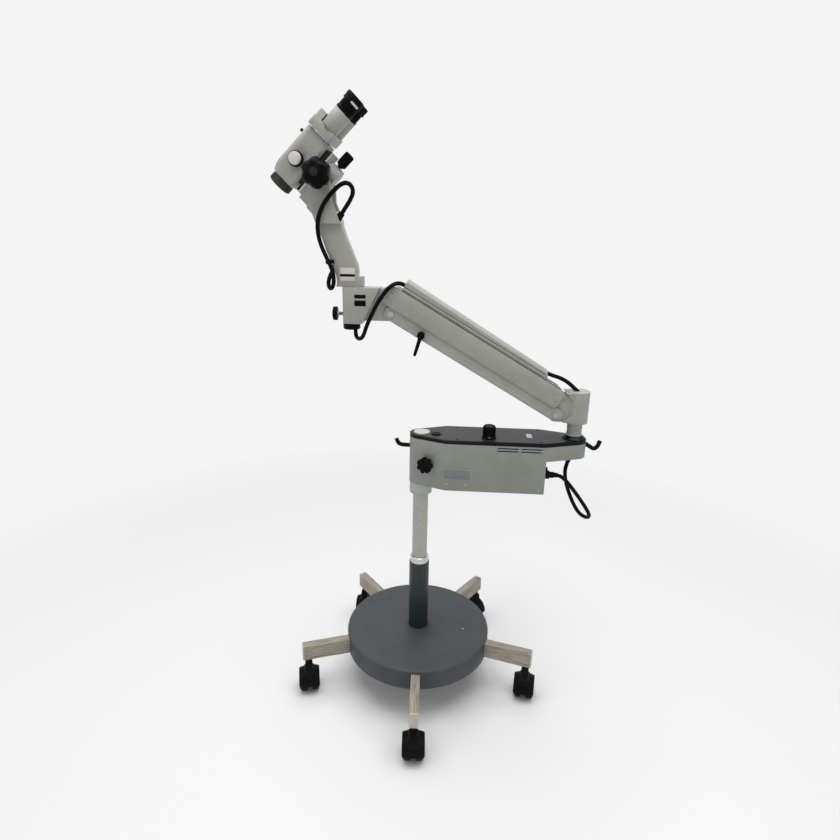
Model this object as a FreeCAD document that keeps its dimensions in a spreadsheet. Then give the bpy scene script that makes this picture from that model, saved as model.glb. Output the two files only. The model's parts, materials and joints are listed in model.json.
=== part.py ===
import FreeCAD
import Part
import math
import os
import Sketcher
from FreeCAD import Placement, Rotation, Vector

# Surgical microscope on a rolling stand, in millimetres.
# The origin is on the floor under the column, +Z is up and the arm lies along X, with the optics at -X.

doc = FreeCAD.newDocument("surgical_microscope")
sheet = doc.addObject("Spreadsheet::Sheet", "Sizes")
nodes = []

X_AXIS = Vector(1, 0, 0)
Y_AXIS = Vector(0, 1, 0)
Z_AXIS = Vector(0, 0, 1)


class Term:
    """A length with the expression that gives it, so that a shape is drawn and bound from one value."""

    def __init__(self, value, text):
        self.value = float(value)
        self.text = text

    def __add__(self, other):
        other = term(other)
        return Term(self.value + other.value, f"({self.text} + {other.text})")

    def __sub__(self, other):
        other = term(other)
        return Term(self.value - other.value, f"({self.text} - {other.text})")

    def __mul__(self, other):
        other = term(other)
        return Term(self.value * other.value, f"({self.text} * {other.text})")

    def __truediv__(self, other):
        other = term(other)
        return Term(self.value / other.value, f"({self.text} / {other.text})")

    def __radd__(self, other):
        return term(other) + self

    def __rsub__(self, other):
        return term(other) - self

    def __rmul__(self, other):
        return term(other) * self

    def __neg__(self):
        return Term(-self.value, f"(0 - {self.text})")

    def __abs__(self):
        return self if self.value >= 0 else -self


def term(number):
    """Gives a bare number the same form as a size from the sheet."""
    return number if isinstance(number, Term) else Term(number, repr(float(number)))


def cosine(angle):
    return Term(math.cos(math.radians(angle.value)), f"cos({angle.text} * 1 deg)")


def sine(angle):
    return Term(math.sin(math.radians(angle.value)), f"sin({angle.text} * 1 deg)")


def size(alias, value):
    """Writes one driving dimension into the sheet."""
    size.row += 1
    sheet.set(f"A{size.row}", alias)
    sheet.set(f"B{size.row}", str(value))
    sheet.setAlias(f"B{size.row}", alias)
    return Term(value, f"Sizes.{alias}")


size.row = 0

# Fits
running_fit = size("running_fit", 0.06)
seat_gap = size("seat_gap", 0.3)
loose_gap = size("loose_gap", 1.0)

# Base: disc, five legs and casters
disc_radius = size("disc_radius", 220)
disc_bottom = size("disc_bottom", 117)
disc_height = size("disc_height", 60)
disc_round = size("disc_round", 9)
disc_recess = size("disc_recess", 5)
leg_count = size("leg_count", 5)
leg_width = size("leg_width", 25)
leg_height = size("leg_height", 47)
leg_bottom = size("leg_bottom", 120)
leg_inner = size("leg_inner", 60)
leg_outer = size("leg_outer", 357)
leg_wall = size("leg_wall", 2.5)
leg_cap = size("leg_cap", 4)
star_turn = size("star_turn", -87.8)
caster_circle = size("caster_circle", 344)
caster_block = size("caster_block", 56)
stem_radius = size("stem_radius", 9)
stem_depth = size("stem_depth", 30)
wheel_radius = size("wheel_radius", 34)
wheel_width = size("wheel_width", 22)
wheel_space = size("wheel_space", 15)
wheel_bore = size("wheel_bore", 4)
hood_wall = size("hood_wall", 4)
trail = size("trail", 10)
tower_half = size("tower_half", 15)
tower_height = size("tower_height", 104)
# The way each caster is turned, with its wheels trailing opposite to its own X
caster_turns = [size(f"caster_turn_{number + 1}", turn) for number, turn in enumerate((-86, -100, -53, -90, -75))]

# Column
column_radius = size("column_radius", 22.5)
column_wall = size("column_wall", 3.5)
sleeve_radius = size("sleeve_radius", 30)
sleeve_height = size("sleeve_height", 223)
collar_radius = size("collar_radius", 28)
collar_height = size("collar_height", 20)
hub_radius = size("hub_radius", 32.5)
hub_drop = size("hub_drop", 34)
hub_neck_radius = size("hub_neck_radius", 28)

# Power box
box_bottom = size("box_bottom", 664)
box_height = size("box_height", 137)
box_half_width = size("box_half_width", 68)
box_wall = size("box_wall", 3)
box_length = size("box_length", 345)
box_shoulder = size("box_shoulder", 69)
nose_radius = size("nose_radius", 34)
nose_turn = size("nose_turn", 114.1)
tail_turn = size("tail_turn", 70)
tail_radius = size("tail_radius", 35)
tail_overhang = size("tail_overhang", 80)
overhang_height = size("overhang_height", 41.5)
lid_thickness = size("lid_thickness", 10)
vent_length = size("vent_length", 56)
vent_height = size("vent_height", 3.5)
vent_left = size("vent_left", 211)
vent_gap = size("vent_gap", 9)
vent_pitch = size("vent_pitch", 8)
cap_radius = size("cap_radius", 23)
cap_height = size("cap_height", 3.5)
button_x = size("button_x", 41)
button_y = size("button_y", -15)
button_radius = size("button_radius", 12)
button_height = size("button_height", 4)
button_travel = size("button_travel", 2)
dial_x = size("dial_x", 188)
dial_y = size("dial_y", -30)
dial_radius = size("dial_radius", 20)
dial_height = size("dial_height", 35)
shaft_radius = size("shaft_radius", 4)
plate_left = size("plate_left", 65)
plate_length = size("plate_length", 77)
plate_rise = size("plate_rise", 33)
plate_height = size("plate_height", 31)
plate_thickness = size("plate_thickness", 1)
window_x = size("window_x", 302)
window_length = size("window_length", 15)
window_width = size("window_width", 34)
lock_along = size("lock_along", 37)
lock_rise = size("lock_rise", 69)
lock_radius = size("lock_radius", 23)
lock_length = size("lock_length", 26)
hook_rod = size("hook_rod", 12)
plug_y = size("plug_y", -30)
plug_rise = size("plug_rise", 45)
plug_radius = size("plug_radius", 12)
plug_length = size("plug_length", 27)
gland_back = size("gland_back", 9)
gland_radius = size("gland_radius", 9)
gland_height = size("gland_height", 9)
supply_back = size("supply_back", 115)
supply_length = size("supply_length", 90)
supply_width = size("supply_width", 90)
supply_height = size("supply_height", 80)
lamp_x = size("lamp_x", 50)
lamp_length = size("lamp_length", 90)
lamp_width = size("lamp_width", 76)
lamp_height = size("lamp_height", 84)

# Rear post, rear head and the parallel arm
post_radius = size("post_radius", 21)
post_height = size("post_height", 47)
post_collar_radius = size("post_collar_radius", 33)
post_collar_height = size("post_collar_height", 13)
spigot_radius = size("spigot_radius", 14)
spigot_height = size("spigot_height", 76)
rear_radius = size("rear_radius", 33)
rear_height = size("rear_height", 87.7)
yoke_reach = size("yoke_reach", 60)
flank_radius = size("flank_radius", 46)
flank_half = size("flank_half", 31)
pivot_rise = size("pivot_rise", 22.7)
link_gap = size("link_gap", 48)
tongue_half = size("tongue_half", 23)
tongue_round = size("tongue_round", 18)
pin_radius = size("pin_radius", 6)
pin_head = size("pin_head", 9)
arm_length = size("arm_length", 523)
arm_slope = size("arm_slope", 30)
link_half = size("link_half", 27.5)
link_wall = size("link_wall", 3.5)
link_below = size("link_below", 16)
link_above = size("link_above", 20)
cover_half = size("cover_half", 32)
cover_wall = size("cover_wall", 3.5)
cover_rise = size("cover_rise", 25.5)
cover_tail = size("cover_tail", 11)
duct_half = size("duct_half", 21)
duct_front = size("duct_front", 18)
duct_front_height = size("duct_front_height", 33)
duct_rear_height = size("duct_rear_height", 23.5)
duct_rear = size("duct_rear", 48)
duct_wall = size("duct_wall", 2.5)
spring_radius = size("spring_radius", 14)
spring_start = size("spring_start", 70)
spring_length = size("spring_length", 330)
rod_radius = size("rod_radius", 6)
lever_along = size("lever_along", 97)
lever_drop = size("lever_drop", 4)
lever_length = size("lever_length", 52)

# Front block and carrier
block_reach = size("block_reach", 108)
block_half = size("block_half", 35)
block_left = size("block_left", 19.5)
block_top_rise = size("block_top_rise", 19.5)
block_drop = size("block_drop", 26.5)
spindle_radius = size("spindle_radius", 12)
swivel_cap_radius = size("swivel_cap_radius", 23)
swivel_cap_height = size("swivel_cap_height", 18)
clamp_z_rise = size("clamp_z_rise", 23)
clamp_radius = size("clamp_radius", 18.5)
clamp_thickness = size("clamp_thickness", 13)
clamp_stem = size("clamp_stem", 5)
foot_left = size("foot_left", 36)
foot_right = size("foot_right", 33)
foot_height = size("foot_height", 27)
carrier_half = size("carrier_half", 20)
fork_half = size("fork_half", 34)
fork_slot = size("fork_slot", 24.5)
fork_sweep = size("fork_sweep", 93)
fork_reach = size("fork_reach", 71.06)
tilt_back = size("tilt_back", 71)
tilt_rise = size("tilt_rise", 272)
cheek_round = size("cheek_round", 24)

# Microscope head, drawn along its optical axis: X along the axis to the eyes, Z up across it
optic_slope = size("optic_slope", 45)
tilt_along = size("tilt_along", 10)
tilt_below = size("tilt_below", 61)
tilt_pin = size("tilt_pin", 8)
drive_half = size("drive_half", 23.5)
drive_left = size("drive_left", 66)
drive_box = size("drive_box", 12)
drive_right = size("drive_right", 56)
drive_top = size("drive_top", 60)
drive_bottom = size("drive_bottom", 106)
drive_boss_radius = size("drive_boss_radius", 23)
drive_boss_along = size("drive_boss_along", 32)
drive_boss_bottom = size("drive_boss_bottom", 96)
rail_half = size("rail_half", 20)
rail_base = size("rail_base", 7)
rail_height = size("rail_height", 9)
rail_top_half = size("rail_top_half", 14)
rail_neck_half = size("rail_neck_half", 10)
rail_right = size("rail_right", 68)
focus_knob_below = size("focus_knob_below", 79)
focus_knob_radius = size("focus_knob_radius", 12)
focus_knob_length = size("focus_knob_length", 37)
body_half = size("body_half", 38)
body_low = size("body_low", 35)
body_high = size("body_high", 35)
body_front = size("body_front", 62)
body_back = size("body_back", 75)
body_brow = size("body_brow", 33)
body_chin_high = size("body_chin_high", 27)
body_brow_radius = size("body_brow_radius", 60)
objective_radius = size("objective_radius", 30)
objective_mouth = size("objective_mouth", 24)
objective_bore = size("objective_bore", 22)
objective_length = size("objective_length", 24)
lens_thickness = size("lens_thickness", 6)
lens_recess = size("lens_recess", 8)
changer_along = size("changer_along", -4)
changer_radius = size("changer_radius", 12)
changer_skirt = size("changer_skirt", 18.5)
changer_face = size("changer_face", 15.5)
changer_skirt_length = size("changer_skirt_length", 14)
changer_face_length = size("changer_face_length", 6)
flange_radius = size("flange_radius", 30)
flange_length = size("flange_length", 3)
binocular_length = size("binocular_length", 25)
binocular_half = size("binocular_half", 48)
bridge_length = size("bridge_length", 20)
bridge_half = size("bridge_half", 44)
eye_half = size("eye_half", 31)
eye_below = size("eye_below", 9)
tube_radius = size("tube_radius", 23)
tube_length = size("tube_length", 49)
barrel_radius = size("barrel_radius", 15)
barrel_length = size("barrel_length", 28)
eyepiece_base = size("eyepiece_base", 8)
dioptre_radius = size("dioptre_radius", 22)
dioptre_length = size("dioptre_length", 18)
eyecup_radius = size("eyecup_radius", 25)
eyecup_length = size("eyecup_length", 22)
eyecup_bore = size("eyecup_bore", 18)
eyecup_depth = size("eyecup_depth", 11)
eye_lens_radius = size("eye_lens_radius", 13)
tilt_knob_radius = size("tilt_knob_radius", 37)
tilt_knob_start = size("tilt_knob_start", 40)
tilt_knob_length = size("tilt_knob_length", 48)
tilt_skirt_radius = size("tilt_skirt_radius", 16)
scallop_radius = size("scallop_radius", 18)
scallop_circle = size("scallop_circle", 49)

cord_diameter = size("cord_diameter", 11)
box_cord_diameter = size("box_cord_diameter", 11)

doc.recompute()

# Places that several pieces share
lock_base_x = nose_radius * cosine(nose_turn) + lock_along * 0.9131
lock_base_y = -nose_radius * sine(nose_turn) - lock_along * 0.4077
disc_top = disc_bottom + disc_height
leg_top = leg_bottom + leg_height
sleeve_top = disc_top + sleeve_height
hub_bottom = box_bottom - hub_drop
plate_bottom = box_bottom + plate_rise
lock_z = box_bottom + lock_rise
plug_z = box_bottom + plug_rise
tail_shoulder = box_length - 5
tail_reach = box_length + tail_overhang
gland_x = tail_reach - gland_back
supply_x = box_length - supply_back
box_top = box_bottom + box_height
lid_top = box_top + lid_thickness
column_top = box_top - 6
overhang_bottom = box_top - overhang_height
rear_bottom = lid_top + post_height + seat_gap
rear_top = rear_bottom + rear_height
rear_pivot_x = tail_reach - yoke_reach
rear_low_z = rear_bottom + pivot_rise
rear_high_z = rear_low_z + link_gap
front_pivot_x = rear_pivot_x - arm_length * cosine(arm_slope)
front_low_z = rear_low_z + arm_length * sine(arm_slope)
front_high_z = front_low_z + link_gap
block_top = front_high_z + block_top_rise
block_bottom = front_low_z - block_drop
swivel_x = front_pivot_x - block_reach
foot_z = block_top + seat_gap
tilt_x = swivel_x - tilt_back
tilt_z = foot_z + tilt_rise
tilt_low = -tilt_below
head_x = tilt_x - tilt_along * cosine(optic_slope) + tilt_low * sine(optic_slope)
head_z = tilt_z - tilt_along * sine(optic_slope) - tilt_low * cosine(optic_slope)

WORLD = (0, 0, 0, Z_AXIS, 0)
BASE = (0, 0, 0, Z_AXIS, star_turn)
COVER = (front_pivot_x, 0, front_high_z, Y_AXIS, arm_slope)
LINK = (front_pivot_x, 0, front_low_z, Y_AXIS, arm_slope)
HEAD = (head_x, 0, head_z, Y_AXIS, -optic_slope)


def place(thing, frame):
    """Sets a piece into a frame: three coordinates, and a turn about an axis."""
    x, y, z, axis, angle = frame
    if term(angle).value < 0:
        axis, angle = -axis, -term(angle)
    thing.Placement = Placement(
        Vector(term(x).value, term(y).value, term(z).value), Rotation(axis, term(angle).value)
    )
    for path, value in (("Base.x", x), ("Base.y", y), ("Base.z", z)):
        thing.setExpression(f"Placement.{path}", term(value).text)
    if term(angle).value:
        thing.setExpression("Placement.Rotation.Angle", f"{term(angle).text} * 1 deg")


def node(label, frame=WORLD, several=False):
    """Starts a piece that is built up from sketches."""
    body = doc.addObject("PartDesign::Body", label)
    body.Label = label
    body.AllowCompound = several
    place(body, frame)
    nodes.append(body)
    return body


def sketch(body, role, lift=0):
    """Puts a sketch on one of the piece's own planes, lifted along the plane's normal."""
    drawing = body.newObject("Sketcher::SketchObject", f"{body.Label}_sketch")
    support = [feature for feature in body.Origin.OriginFeatures if feature.Role == role]
    drawing.AttachmentSupport = [(support[0], "")]
    drawing.MapMode = "FlatFace"
    drawing.AttachmentOffset = Placement(Vector(0, 0, term(lift).value), Rotation())
    drawing.setExpression("AttachmentOffset.Base.z", term(lift).text)
    return drawing


def hold(drawing, kind, *where, value):
    """Adds one dimension to a sketch and binds it to its expression."""
    number = drawing.addConstraint(Sketcher.Constraint(kind, *where, value.value))
    drawing.setExpression(f"Constraints[{number}]", value.text)


def loop(drawing, steps):
    """Draws a closed outline. A step is a point, with the radius of the arc that leaves it, if one does.

    A positive radius turns left on the way round and a negative one turns right.
    """
    steps = [tuple(map(term, step)) for step in steps]
    places = [Vector(step[0].value, step[1].value, 0) for step in steps]
    first_edge = drawing.GeometryCount
    ends = []
    for number, step in enumerate(steps):
        start, stop = places[number], places[(number + 1) % len(steps)]
        if len(step) == 2:
            drawing.addGeometry(Part.LineSegment(start, stop), False)
            ends.append((1, 2))
            continue
        radius = step[2].value
        chord = stop - start
        left = Vector(-chord.y, chord.x, 0).normalize()
        rise = math.sqrt(max(radius**2 - chord.Length**2 / 4, 0))
        centre = (start + stop) / 2 + left * math.copysign(rise, radius)
        first, last = (start, stop) if radius > 0 else (stop, start)
        angles = [math.atan2(spot.y - centre.y, spot.x - centre.x) for spot in (first, last)]
        drawing.addGeometry(Part.ArcOfCircle(Part.Circle(centre, Z_AXIS, abs(radius)), *angles), False)
        ends.append((1, 2) if radius > 0 else (2, 1))
    for number, step in enumerate(steps):
        after = (number + 1) % len(steps)
        edge, next_edge = first_edge + number, first_edge + after
        drawing.addConstraint(
            Sketcher.Constraint("Coincident", edge, ends[number][1], next_edge, ends[after][0])
        )
        hold(drawing, "DistanceX", -1, 1, edge, ends[number][0], value=step[0])
        hold(drawing, "DistanceY", -1, 1, edge, ends[number][0], value=step[1])
        if len(step) == 3:
            hold(drawing, "Radius", edge, value=abs(step[2]))
    return drawing


def ring(drawing, x, y, radius):
    """Draws a circle."""
    x, y, radius = term(x), term(y), term(radius)
    edge = drawing.addGeometry(Part.Circle(Vector(x.value, y.value, 0), Z_AXIS, radius.value), False)
    hold(drawing, "DistanceX", -1, 1, edge, 3, value=x)
    hold(drawing, "DistanceY", -1, 1, edge, 3, value=y)
    hold(drawing, "Radius", edge, value=radius)
    return drawing


def rectangle(drawing, left, low, right, high):
    """Draws a rectangle between two corners."""
    return loop(drawing, [(left, low), (right, low), (right, high), (left, high)])


def extrude(kind, body, drawing, length, midplane, reverse):
    feature = body.newObject(f"PartDesign::{kind}", f"{body.Label}_{kind.lower()}")
    feature.Profile = drawing
    feature.Midplane = midplane
    feature.Reversed = reverse
    feature.setExpression("Length", term(length).text)
    body.Tip = feature
    return feature


def pad(body, drawing, length, midplane=False, reverse=False):
    return extrude("Pad", body, drawing, length, midplane, reverse)


def pocket(body, drawing, length, midplane=False, reverse=False):
    return extrude("Pocket", body, drawing, length, midplane, reverse)


def revolve(body, drawing, axis="V_Axis"):
    feature = body.newObject("PartDesign::Revolution", f"{body.Label}_revolution")
    feature.Profile = drawing
    feature.ReferenceAxis = (drawing, [axis])
    feature.Angle = 360
    body.Tip = feature
    return feature


def repeat(body, features, count):
    """Repeats features round the piece's own vertical axis."""
    feature = body.newObject("PartDesign::PolarPattern", f"{body.Label}_pattern")
    feature.Originals = features
    axis = [thing for thing in body.Origin.OriginFeatures if thing.Role == "Z_Axis"]
    feature.Axis = (axis[0], [""])
    feature.Angle = 360
    feature.setExpression("Occurrences", term(count).text)
    body.Tip = feature
    return feature


def soften(body, radius, wanted, kind="Fillet"):
    """Rounds or chamfers the edges of the piece, in its own frame, that a test picks out."""
    doc.recompute()
    base = body.Tip
    edges = base.Shape.Edges
    picked = [f"Edge{number + 1}" for number, edge in enumerate(edges) if wanted(edge)]
    feature = body.newObject(f"PartDesign::{kind}", f"{body.Label}_{kind.lower()}")
    feature.Base = (base, picked)
    feature.setExpression("Radius" if kind == "Fillet" else "Size", term(radius).text)
    body.Tip = feature
    return feature


def runs_along(axis, test=lambda box: True):
    """Picks straight edges along an axis whose bounding box passes a test."""

    def wanted(edge):
        box = edge.BoundBox
        spans = {"x": box.XLength, "y": box.YLength, "z": box.ZLength}
        others = [span for name, span in spans.items() if name != axis]
        return spans[axis] > 1 and max(others) < 1e-3 and test(box)

    return wanted


def turned(label, frame, profile, axis="V_Axis", role="XZ_Plane"):
    """A piece turned on a lathe from one half section."""
    body = node(label, frame)
    revolve(body, loop(sketch(body, role), profile), axis)
    return body


# Base


def base_disc():
    body = turned(
        "base_disc",
        BASE,
        [
            (column_radius, disc_bottom),
            (disc_radius, disc_bottom),
            (disc_radius, disc_top - disc_round, disc_round),
            (disc_radius - disc_round, disc_top),
            (sleeve_radius + running_fit, disc_top),
            (sleeve_radius + running_fit, disc_top - disc_recess),
            (column_radius, disc_top - disc_recess),
        ],
    )
    half = leg_width / 2 + loose_gap
    drawing = rectangle(sketch(body, "XY_Plane", disc_bottom), leg_inner, -half, disc_radius + 10, half)
    slot = pocket(body, drawing, leg_top - disc_bottom, reverse=True)
    repeat(body, [slot], leg_count)


def star_legs():
    body = node("star_legs", BASE, several=True)
    half = leg_width / 2
    outside = pad(
        body,
        rectangle(sketch(body, "YZ_Plane", leg_inner), -half, leg_bottom, half, leg_top),
        leg_outer - leg_inner,
    )
    inside = pocket(
        body,
        rectangle(
            sketch(body, "YZ_Plane", leg_inner),
            leg_wall - half,
            leg_bottom + leg_wall,
            half - leg_wall,
            leg_top - leg_wall,
        ),
        leg_outer - leg_inner - caster_block,
        reverse=True,
    )
    bore = pocket(
        body,
        ring(sketch(body, "XY_Plane", leg_bottom), caster_circle, 0, stem_radius + running_fit),
        stem_depth + loose_gap,
        reverse=True,
    )
    repeat(body, [outside, inside, bore], leg_count)


def leg_end_caps():
    body = node("leg_end_caps", BASE, several=True)
    half = leg_width / 2
    cap = pad(
        body, rectangle(sketch(body, "YZ_Plane", leg_outer), -half, leg_bottom, half, leg_top), leg_cap
    )
    repeat(body, [cap], leg_count)


def column():
    turned(
        "column_sleeve",
        WORLD,
        [
            (column_radius, disc_top - disc_recess),
            (sleeve_radius, disc_top - disc_recess),
            (sleeve_radius, sleeve_top),
            (column_radius, sleeve_top),
        ],
    )
    edge = Term(2, "2")
    turned(
        "column_collar",
        WORLD,
        [
            (column_radius, sleeve_top),
            (collar_radius, sleeve_top),
            (collar_radius, sleeve_top + collar_height - edge),
            (collar_radius - edge, sleeve_top + collar_height),
            (column_radius, sleeve_top + collar_height),
        ],
    )
    inner = column_radius - column_wall
    turned(
        "column_tube",
        WORLD,
        [
            (inner, disc_bottom),
            (column_radius, disc_bottom),
            (column_radius, column_top),
            (0, column_top),
            (0, column_top - column_wall),
            (inner, column_top - column_wall),
        ],
    )


def caster(number):
    spoke = star_turn + term(number - 1) * 360 / leg_count
    x, y = caster_circle * cosine(spoke), caster_circle * sine(spoke)
    frame = (x, y, 0, Z_AXIS, caster_turns[number - 1])
    inner = wheel_space / 2
    outer = inner + wheel_width
    yoke = node(f"caster_{number}_yoke", frame)
    hood = wheel_radius + seat_gap * 4 + hood_wall
    drawing = loop(
        sketch(yoke, "XZ_Plane"),
        [
            (-trail - hood, wheel_radius),
            (-trail + hood, wheel_radius, hood),
            (-trail, wheel_radius + hood, hood),
        ],
    )
    pad(yoke, drawing, outer * 2 + 2, midplane=True)
    shoulder = wheel_radius + 22
    tower = loop(
        sketch(yoke, "XZ_Plane"),
        [
            (-trail - 24, shoulder),
            (36 - trail, shoulder),
            (stem_radius + 4, tower_height),
            (-stem_radius - 4, tower_height),
        ],
    )
    pad(yoke, tower, tower_half * 2, midplane=True)
    hollow = wheel_radius + seat_gap * 4
    for side in (1, -1):
        drawing = ring(sketch(yoke, "XZ_Plane", side * (inner - loose_gap)), -trail, wheel_radius, hollow)
        pocket(yoke, drawing, wheel_width + 10, reverse=side > 0)
    pad(
        yoke,
        ring(sketch(yoke, "XZ_Plane"), -trail, wheel_radius, wheel_bore),
        outer * 2 - 2,
        midplane=True,
    )
    pad(yoke, ring(sketch(yoke, "XY_Plane", wheel_radius), 0, 0, inner - loose_gap), leg_bottom - wheel_radius)
    pad(yoke, ring(sketch(yoke, "XY_Plane", leg_bottom - 5), 0, 0, stem_radius + 4), 5)
    stem = ring(sketch(yoke, "XY_Plane", tower_height - 4), 0, 0, stem_radius)
    pad(yoke, stem, leg_bottom + stem_depth - tower_height + 4)

    wheels = node(f"caster_{number}_wheels", frame, several=True)
    drawing = sketch(wheels, "XY_Plane", wheel_radius)
    shoulder, crown = Term(2, "2"), Term(8, "8")
    for side in (1, -1):
        loop(
            drawing,
            [
                (wheel_bore + running_fit - trail, side * inner),
                (wheel_radius - shoulder - trail, side * inner, side * shoulder),
                (wheel_radius - trail, side * (inner + shoulder)),
                (wheel_radius - trail, side * (outer - crown), side * crown),
                (wheel_radius - crown - trail, side * outer),
                (wheel_bore + running_fit - trail, side * outer),
            ],
        )
    axle = drawing.addGeometry(Part.LineSegment(Vector(-trail.value, -50, 0), Vector(-trail.value, 50, 0)), True)
    hold(drawing, "DistanceX", -1, 1, axle, 1, value=-trail)
    hold(drawing, "DistanceX", -1, 1, axle, 2, value=-trail)
    hold(drawing, "DistanceY", -1, 1, axle, 1, value=term(-50))
    hold(drawing, "DistanceY", -1, 1, axle, 2, value=term(50))
    revolve(wheels, drawing, "Axis0")


# Power box


def plan(inset, end=None):
    """The outline of the power box seen from above, drawn inside its own walls by the inset."""
    half = box_half_width - inset
    nose, tail = nose_radius - inset, tail_radius - inset
    nose_x, nose_y = nose * cosine(nose_turn), nose * sine(nose_turn)
    front = box_shoulder + inset * 0.2
    back = tail_shoulder - inset * 0.2
    if end is None:
        tail_x, tail_y = tail_reach + tail * cosine(tail_turn), tail * sine(tail_turn)
        right = [(tail_x, -tail_y, tail), (tail_x, tail_y)]
    else:
        right = [(end, -half + seat_gap * 5), (end, half - seat_gap * 5)]
    return [(nose_x, -nose_y), (front, -half), (back, -half), *right, (back, half), (front, half), (nose_x, nose_y, nose)]


def drill(body, x, y, z, axis, angle, radius, length):
    """Bores a round hole from a point of the piece's own frame, along its Z turned about an axis."""
    hole = body.newObject("PartDesign::SubtractiveCylinder", f"{body.Label}_hole")
    hole.Placement = Placement(Vector(term(x).value, term(y).value, term(z).value), Rotation(axis, angle))
    for path, value in (("Base.x", x), ("Base.y", y), ("Base.z", z)):
        hole.setExpression(f"Placement.{path}", term(value).text)
    hole.setExpression("Radius", term(radius).text)
    hole.setExpression("Height", term(length).text)
    body.Tip = hole
    return hole


def peg(body, x, y, z, axis, angle, radius, length):
    """Adds a round pin from a point of the piece's own frame, along its Z turned about an axis."""
    pin = body.newObject("PartDesign::AdditiveCylinder", f"{body.Label}_pin")
    pin.Placement = Placement(Vector(term(x).value, term(y).value, term(z).value), Rotation(axis, angle))
    for path, value in (("Base.x", x), ("Base.y", y), ("Base.z", z)):
        pin.setExpression(f"Placement.{path}", term(value).text)
    pin.setExpression("Radius", term(radius).text)
    pin.setExpression("Height", term(length).text)
    body.Tip = pin
    return pin


def box_housing():
    body = node("box_housing")
    pad(body, loop(sketch(body, "XY_Plane", box_bottom), plan(term(0), box_length)), overhang_bottom - box_bottom)
    pad(body, loop(sketch(body, "XY_Plane", overhang_bottom), plan(term(0))), overhang_height)
    floor = overhang_bottom + box_wall
    pocket(body, loop(sketch(body, "XY_Plane", floor), plan(box_wall)), overhang_height, reverse=True)
    low = box_bottom + box_wall
    drawing = loop(sketch(body, "XY_Plane", low), plan(box_wall, box_length - box_wall))
    pocket(body, drawing, floor - low, reverse=True)
    drawing = ring(sketch(body, "XY_Plane", box_bottom - 1), 0, 0, hub_neck_radius)
    pocket(body, drawing, box_wall + 2, reverse=True)
    drawing = sketch(body, "XZ_Plane", box_half_width - box_wall * 2)
    for column_x in (vent_left, vent_left + vent_length + vent_gap):
        for row in (0, 1):
            low = box_top - 5 - vent_height - row * vent_pitch
            rectangle(drawing, column_x, low, column_x + vent_length, low + vent_height)
    pocket(body, drawing, box_wall * 3, reverse=True)
    # The lock's screw goes in through the flared face
    inward = Term(8, "8")
    hole_x, hole_y = lock_base_x + inward * 0.4077, lock_base_y + inward * 0.9131
    drill(body, hole_x, hole_y, lock_z, Vector(0.9131, -0.4077, 0), 90, 5.06, 16)


def box_lid():
    body = node("box_lid")
    pad(body, loop(sketch(body, "XY_Plane", box_top), plan(term(0))), lid_thickness)
    drawing = sketch(body, "XY_Plane", box_top - 1)
    ring(drawing, dial_x, dial_y, shaft_radius + running_fit)
    ring(drawing, button_x, button_y, button_radius + running_fit)
    pocket(body, drawing, lid_thickness + 2, reverse=True)
    drawing = sketch(body, "XY_Plane", lid_top - 1)
    half_x, half_y = window_length / 2, window_width / 2
    rectangle(drawing, window_x - half_x, -half_y, window_x + half_x, half_y)
    pocket(body, drawing, 3, reverse=True)


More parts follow.
